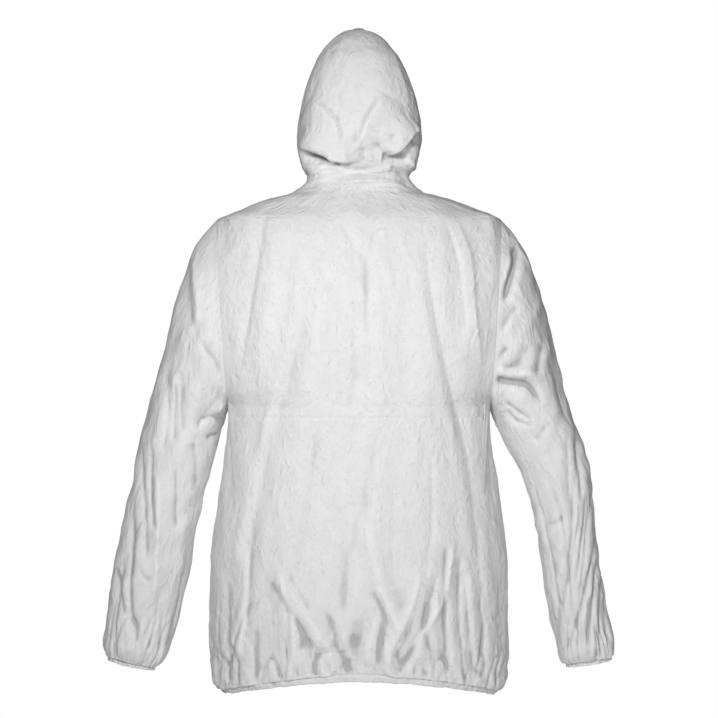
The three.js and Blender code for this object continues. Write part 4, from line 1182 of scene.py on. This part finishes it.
def face_place(high, deep, cols=300):
    """The face opening's points from one side of the chin over the brow to the other, with heights
    running back from its edge."""
    lowest = math.pi - math.atan2(ZIP_EDGE + 4, FACE_MIDDLE - FACE_FOOT)
    turn = np.linspace(-lowest, lowest, cols)[None, :]
    edge = face_skin(turn, np.full_like(turn, float(FACE_PLANE)))
    wave = scallop(edge[..., 0], edge[..., 2], 35) * (1 - ease(0, CASING, high))
    turn, plane = np.broadcast_arrays(turn, FACE_PLANE - high - wave)
    p = face_skin(turn, plane)
    n = outward(face_skin, turn, plane, 4e-3, 0.5)
    n = n * np.where(n[..., 0] * p[..., 0] + n[..., 2] * (p[..., 2] - FACE_MIDDLE) < 0, -1, 1)[..., None]
    return p + n * (swell(p, n) - deep)[..., None]


edge_pieces("face", face_place, False, "face_casing", "face_elastic", bend_at_neck)

# ------------------------------------------------------------------ overlocked seams, inside
SEAM_HALF, SEAM_UNDER, SEAM_WALL = 5.0, 2.8, 0.8
SIDE_STOP, ZIP_STOP = 0.1, 0.12  # angles by which a seam stops short of the side seam and the zip


def seam_strip(name, points, attach):
    """A strip of overlock thread on a grid of points under the fabric."""
    strip = sheet_mesh(f"{name}_overlock", points, lengths(points), wall=SEAM_WALL)
    finish_piece(strip, THREAD, None, "seam_thread", name)
    attach(strip)


def across(centre, depth):
    """Angles either side of a line on the body so that the strip is as wide as a seam."""
    half = (SEAM_HALF / depth) ** (ROUNDNESS / 2)
    return centre + half[:, None] * np.linspace(-1, 1, 5)[None, :]


z = np.linspace(WAIST_SEAM - SEAM_HALF, WAIST_SEAM + SEAM_HALF, 6)
angle = spread(np.full(6, math.pi / 2 + SIDE_STOP), np.full(6, 3 * math.pi / 2 - SIDE_STOP), 220)
seam_strip("seam_back_waist", cloth(body_skin, angle, on_rows(z, angle), SEAM_UNDER), ride_torso)

angle = np.linspace(ZIP_STOP, 2 * math.pi - ZIP_STOP, 300)[None, :]
z = level(neck_line, angle, NECK_GUESS) + np.linspace(-SEAM_HALF, SEAM_HALF, 6)[:, None]
seam_strip("seam_neckline", cloth(body_skin, angle + 0 * z, z, SEAM_UNDER), ride_torso)

for side, name in ((1, "left"), (-1, "right")):
    for part, z in (("side", np.linspace(HEM + CASING + 1, ARMPIT - 2 * SEAM_HALF, 200)),
                    ("shoulder", np.linspace(SHOULDER + 3, slope(0.86), 60))):
        angle = across(side * math.pi / 2, back_depth(z))
        points = cloth(body_skin, angle, on_rows(z, angle), SEAM_UNDER)
        seam_strip(f"seam_{part}_{name}", points, ride_torso)
    sweep = np.linspace(0, 2 * math.pi, 161)[None, :]
    inwards = np.linspace(0.6, 2 * SEAM_HALF, 5)[:, None]
    sweep, inwards = np.broadcast_arrays(sweep, inwards)
    x, y, z = armhole_place(sweep, armhole_reach(sweep, inwards), inwards)
    p = stack(side * x, y, z)
    n = stack(side * ARM_ALONG[0] * np.cos(sweep), np.sin(sweep), ARM_ALONG[1] * np.cos(sweep))
    points = p + n * (np.minimum(swell(p, n), 0) - SEAM_UNDER)[..., None]
    if side > 0:
        points = flipped(points)
    seam_strip(f"seam_armhole_{name}", points, ride_torso)

z_up = hood(np.linspace(0.02, 1, 170)) - 0.6
angle = across(math.pi, half_width(z_up))
behind = cloth(body_skin, angle, on_rows(z_up, angle), SEAM_UNDER)
z_down = np.linspace(CROWN - 0.6, FRONT_SEAM_FOOT, 20)
angle = across(0.0, half_width(z_down))
before = cloth(body_skin, angle[:, ::-1], on_rows(z_down, angle), SEAM_UNDER)
seam_strip("seam_hood_centre", np.concatenate([behind, before]), bend_at_neck)

# ------------------------------------------------------------------ storm flap over the zip
FLAP_ROOT, FLAP_FREE, FLAP_FOOT, FLAP_RISE, FLAP_TOP, FLAP_WALL = 38, 18, 12, 5, -29.4, 1.1
FLAP_BOTTOM, FLAP_GAP, FLAP_LEAN = HEM + HEM_ARCH + 18, 0.4, 0.995
x = np.linspace(FLAP_ROOT, -FLAP_FREE, 46)[None, :]
z = np.linspace(FLAP_BOTTOM, FLAP_TOP, 420)[:, None]
foot_edge = FLAP_ROOT - FLAP_FOOT
lift = FLAP_GAP + FLAP_WALL + (FLAP_RISE - FLAP_GAP) * (1 - ease(foot_edge - FLAP_RISE, foot_edge, x))
loose = 1 - ease(8, 26, x)
ripple = wander(stack(x * 0.4, 0, z), 34, 91) * 1.1 + wander(stack(x, 0, z * 0.8), 13, 92) * 0.5
stitches = 0.35 * (np.exp(-(((x - FLAP_ROOT + 4) / 1.2) ** 2)) + np.exp(-(((x - FLAP_ROOT + 10) / 1.2) ** 2)))
edge = 0.5 * np.exp(-(((x + FLAP_FREE) / 3) ** 2))
lift = lift + np.maximum(loose * (ripple + 0.6), -0.4) - stitches - edge
points = flipped(stack(x, -front_depth(z) * FLAP_LEAN - lift, z))
flap = sheet_mesh("storm_flap_cloth", points, lengths(points), wall=FLAP_WALL)
finish_piece(flap, FABRIC, "flap", "fabric", "storm_flap")
declare(points)

# ------------------------------------------------------------------ finishes of the zip's own parts
for maker, words in ((woven_tape, ("zip_tape",)), (nylon_coil, ("zip_coil",)),
                     (brushed_metal, ("zip_top_stop", "zip_bottom_box", "zip_slider", "zip_pull_tab"))):
    material = maker()
    for name, thing in nodes.items():
        if name.startswith(words):
            thing.data.materials.clear()
            thing.data.materials.append(material)

# ------------------------------------------------------------------ floor and light
FLOOR, FLOOR_RADIUS = -1.5, 3.0
disc = bpy.data.meshes.new("floor")
turn = np.linspace(0, 2 * math.pi, 96, endpoint=False)
rim = stack(FLOOR_RADIUS * np.cos(turn), FLOOR_RADIUS * np.sin(turn), FLOOR)
disc.from_pydata(rim.tolist(), [], [list(range(96))])
floor = bpy.data.objects.new("floor", disc)
bpy.context.scene.collection.objects.link(floor)
plain = Finish("pale_floor")
grain = plain.node("ShaderNodeTexNoise", None, {"Scale": 3.0})
pale = plain.mix(grain, (0.86, 0.86, 0.86, 1), (0.9, 0.9, 0.9, 1))
disc.materials.append(plain.set(Base_Color=pale, Roughness=0.9))

BACKGROUND, FILL = 1.0, 0.1
world = bpy.data.worlds.new("studio")
bpy.context.scene.world = world
world.use_nodes = True
tree = world.node_tree
seen = tree.nodes.new("ShaderNodeLightPath")
strength = tree.nodes.new("ShaderNodeMapRange")
strength.inputs["To Min"].default_value = FILL
strength.inputs["To Max"].default_value = BACKGROUND
tree.links.new(seen.outputs["Is Camera Ray"], strength.inputs["Value"])
tree.links.new(strength.outputs[0], tree.nodes["Background"].inputs["Strength"])
tree.nodes["Background"].inputs["Color"].default_value = (1, 1, 1, 1)


def softbox(name, place, aim, width, power, spread=180):
    """A square soft light; a narrow spread, in degrees, is a grid that dims it away from its aim."""
    light = bpy.data.lights.new(name, "AREA")
    light.shape, light.size = "SQUARE", width
    light.energy = power
    light.spread = math.radians(spread)
    thing = bpy.data.objects.new(name, light)
    thing.location = place
    thing.rotation_euler = (Vector(aim) - Vector(place)).to_track_quat("-Z", "Y").to_euler()
    bpy.context.scene.collection.objects.link(thing)


MIDDLE = (0, 0, -0.22)
softbox("key", (0.75, 3.05, 0.6), MIDDLE, 0.4, 7.3, spread=62)
softbox("fill", (-1.2, 3.1, -0.3), MIDDLE, 1.0, 24)
softbox("front", (0.0, -3.2, 0.0), MIDDLE, 0.6, 76)
bpy.context.scene.view_settings.view_transform = "Standard"
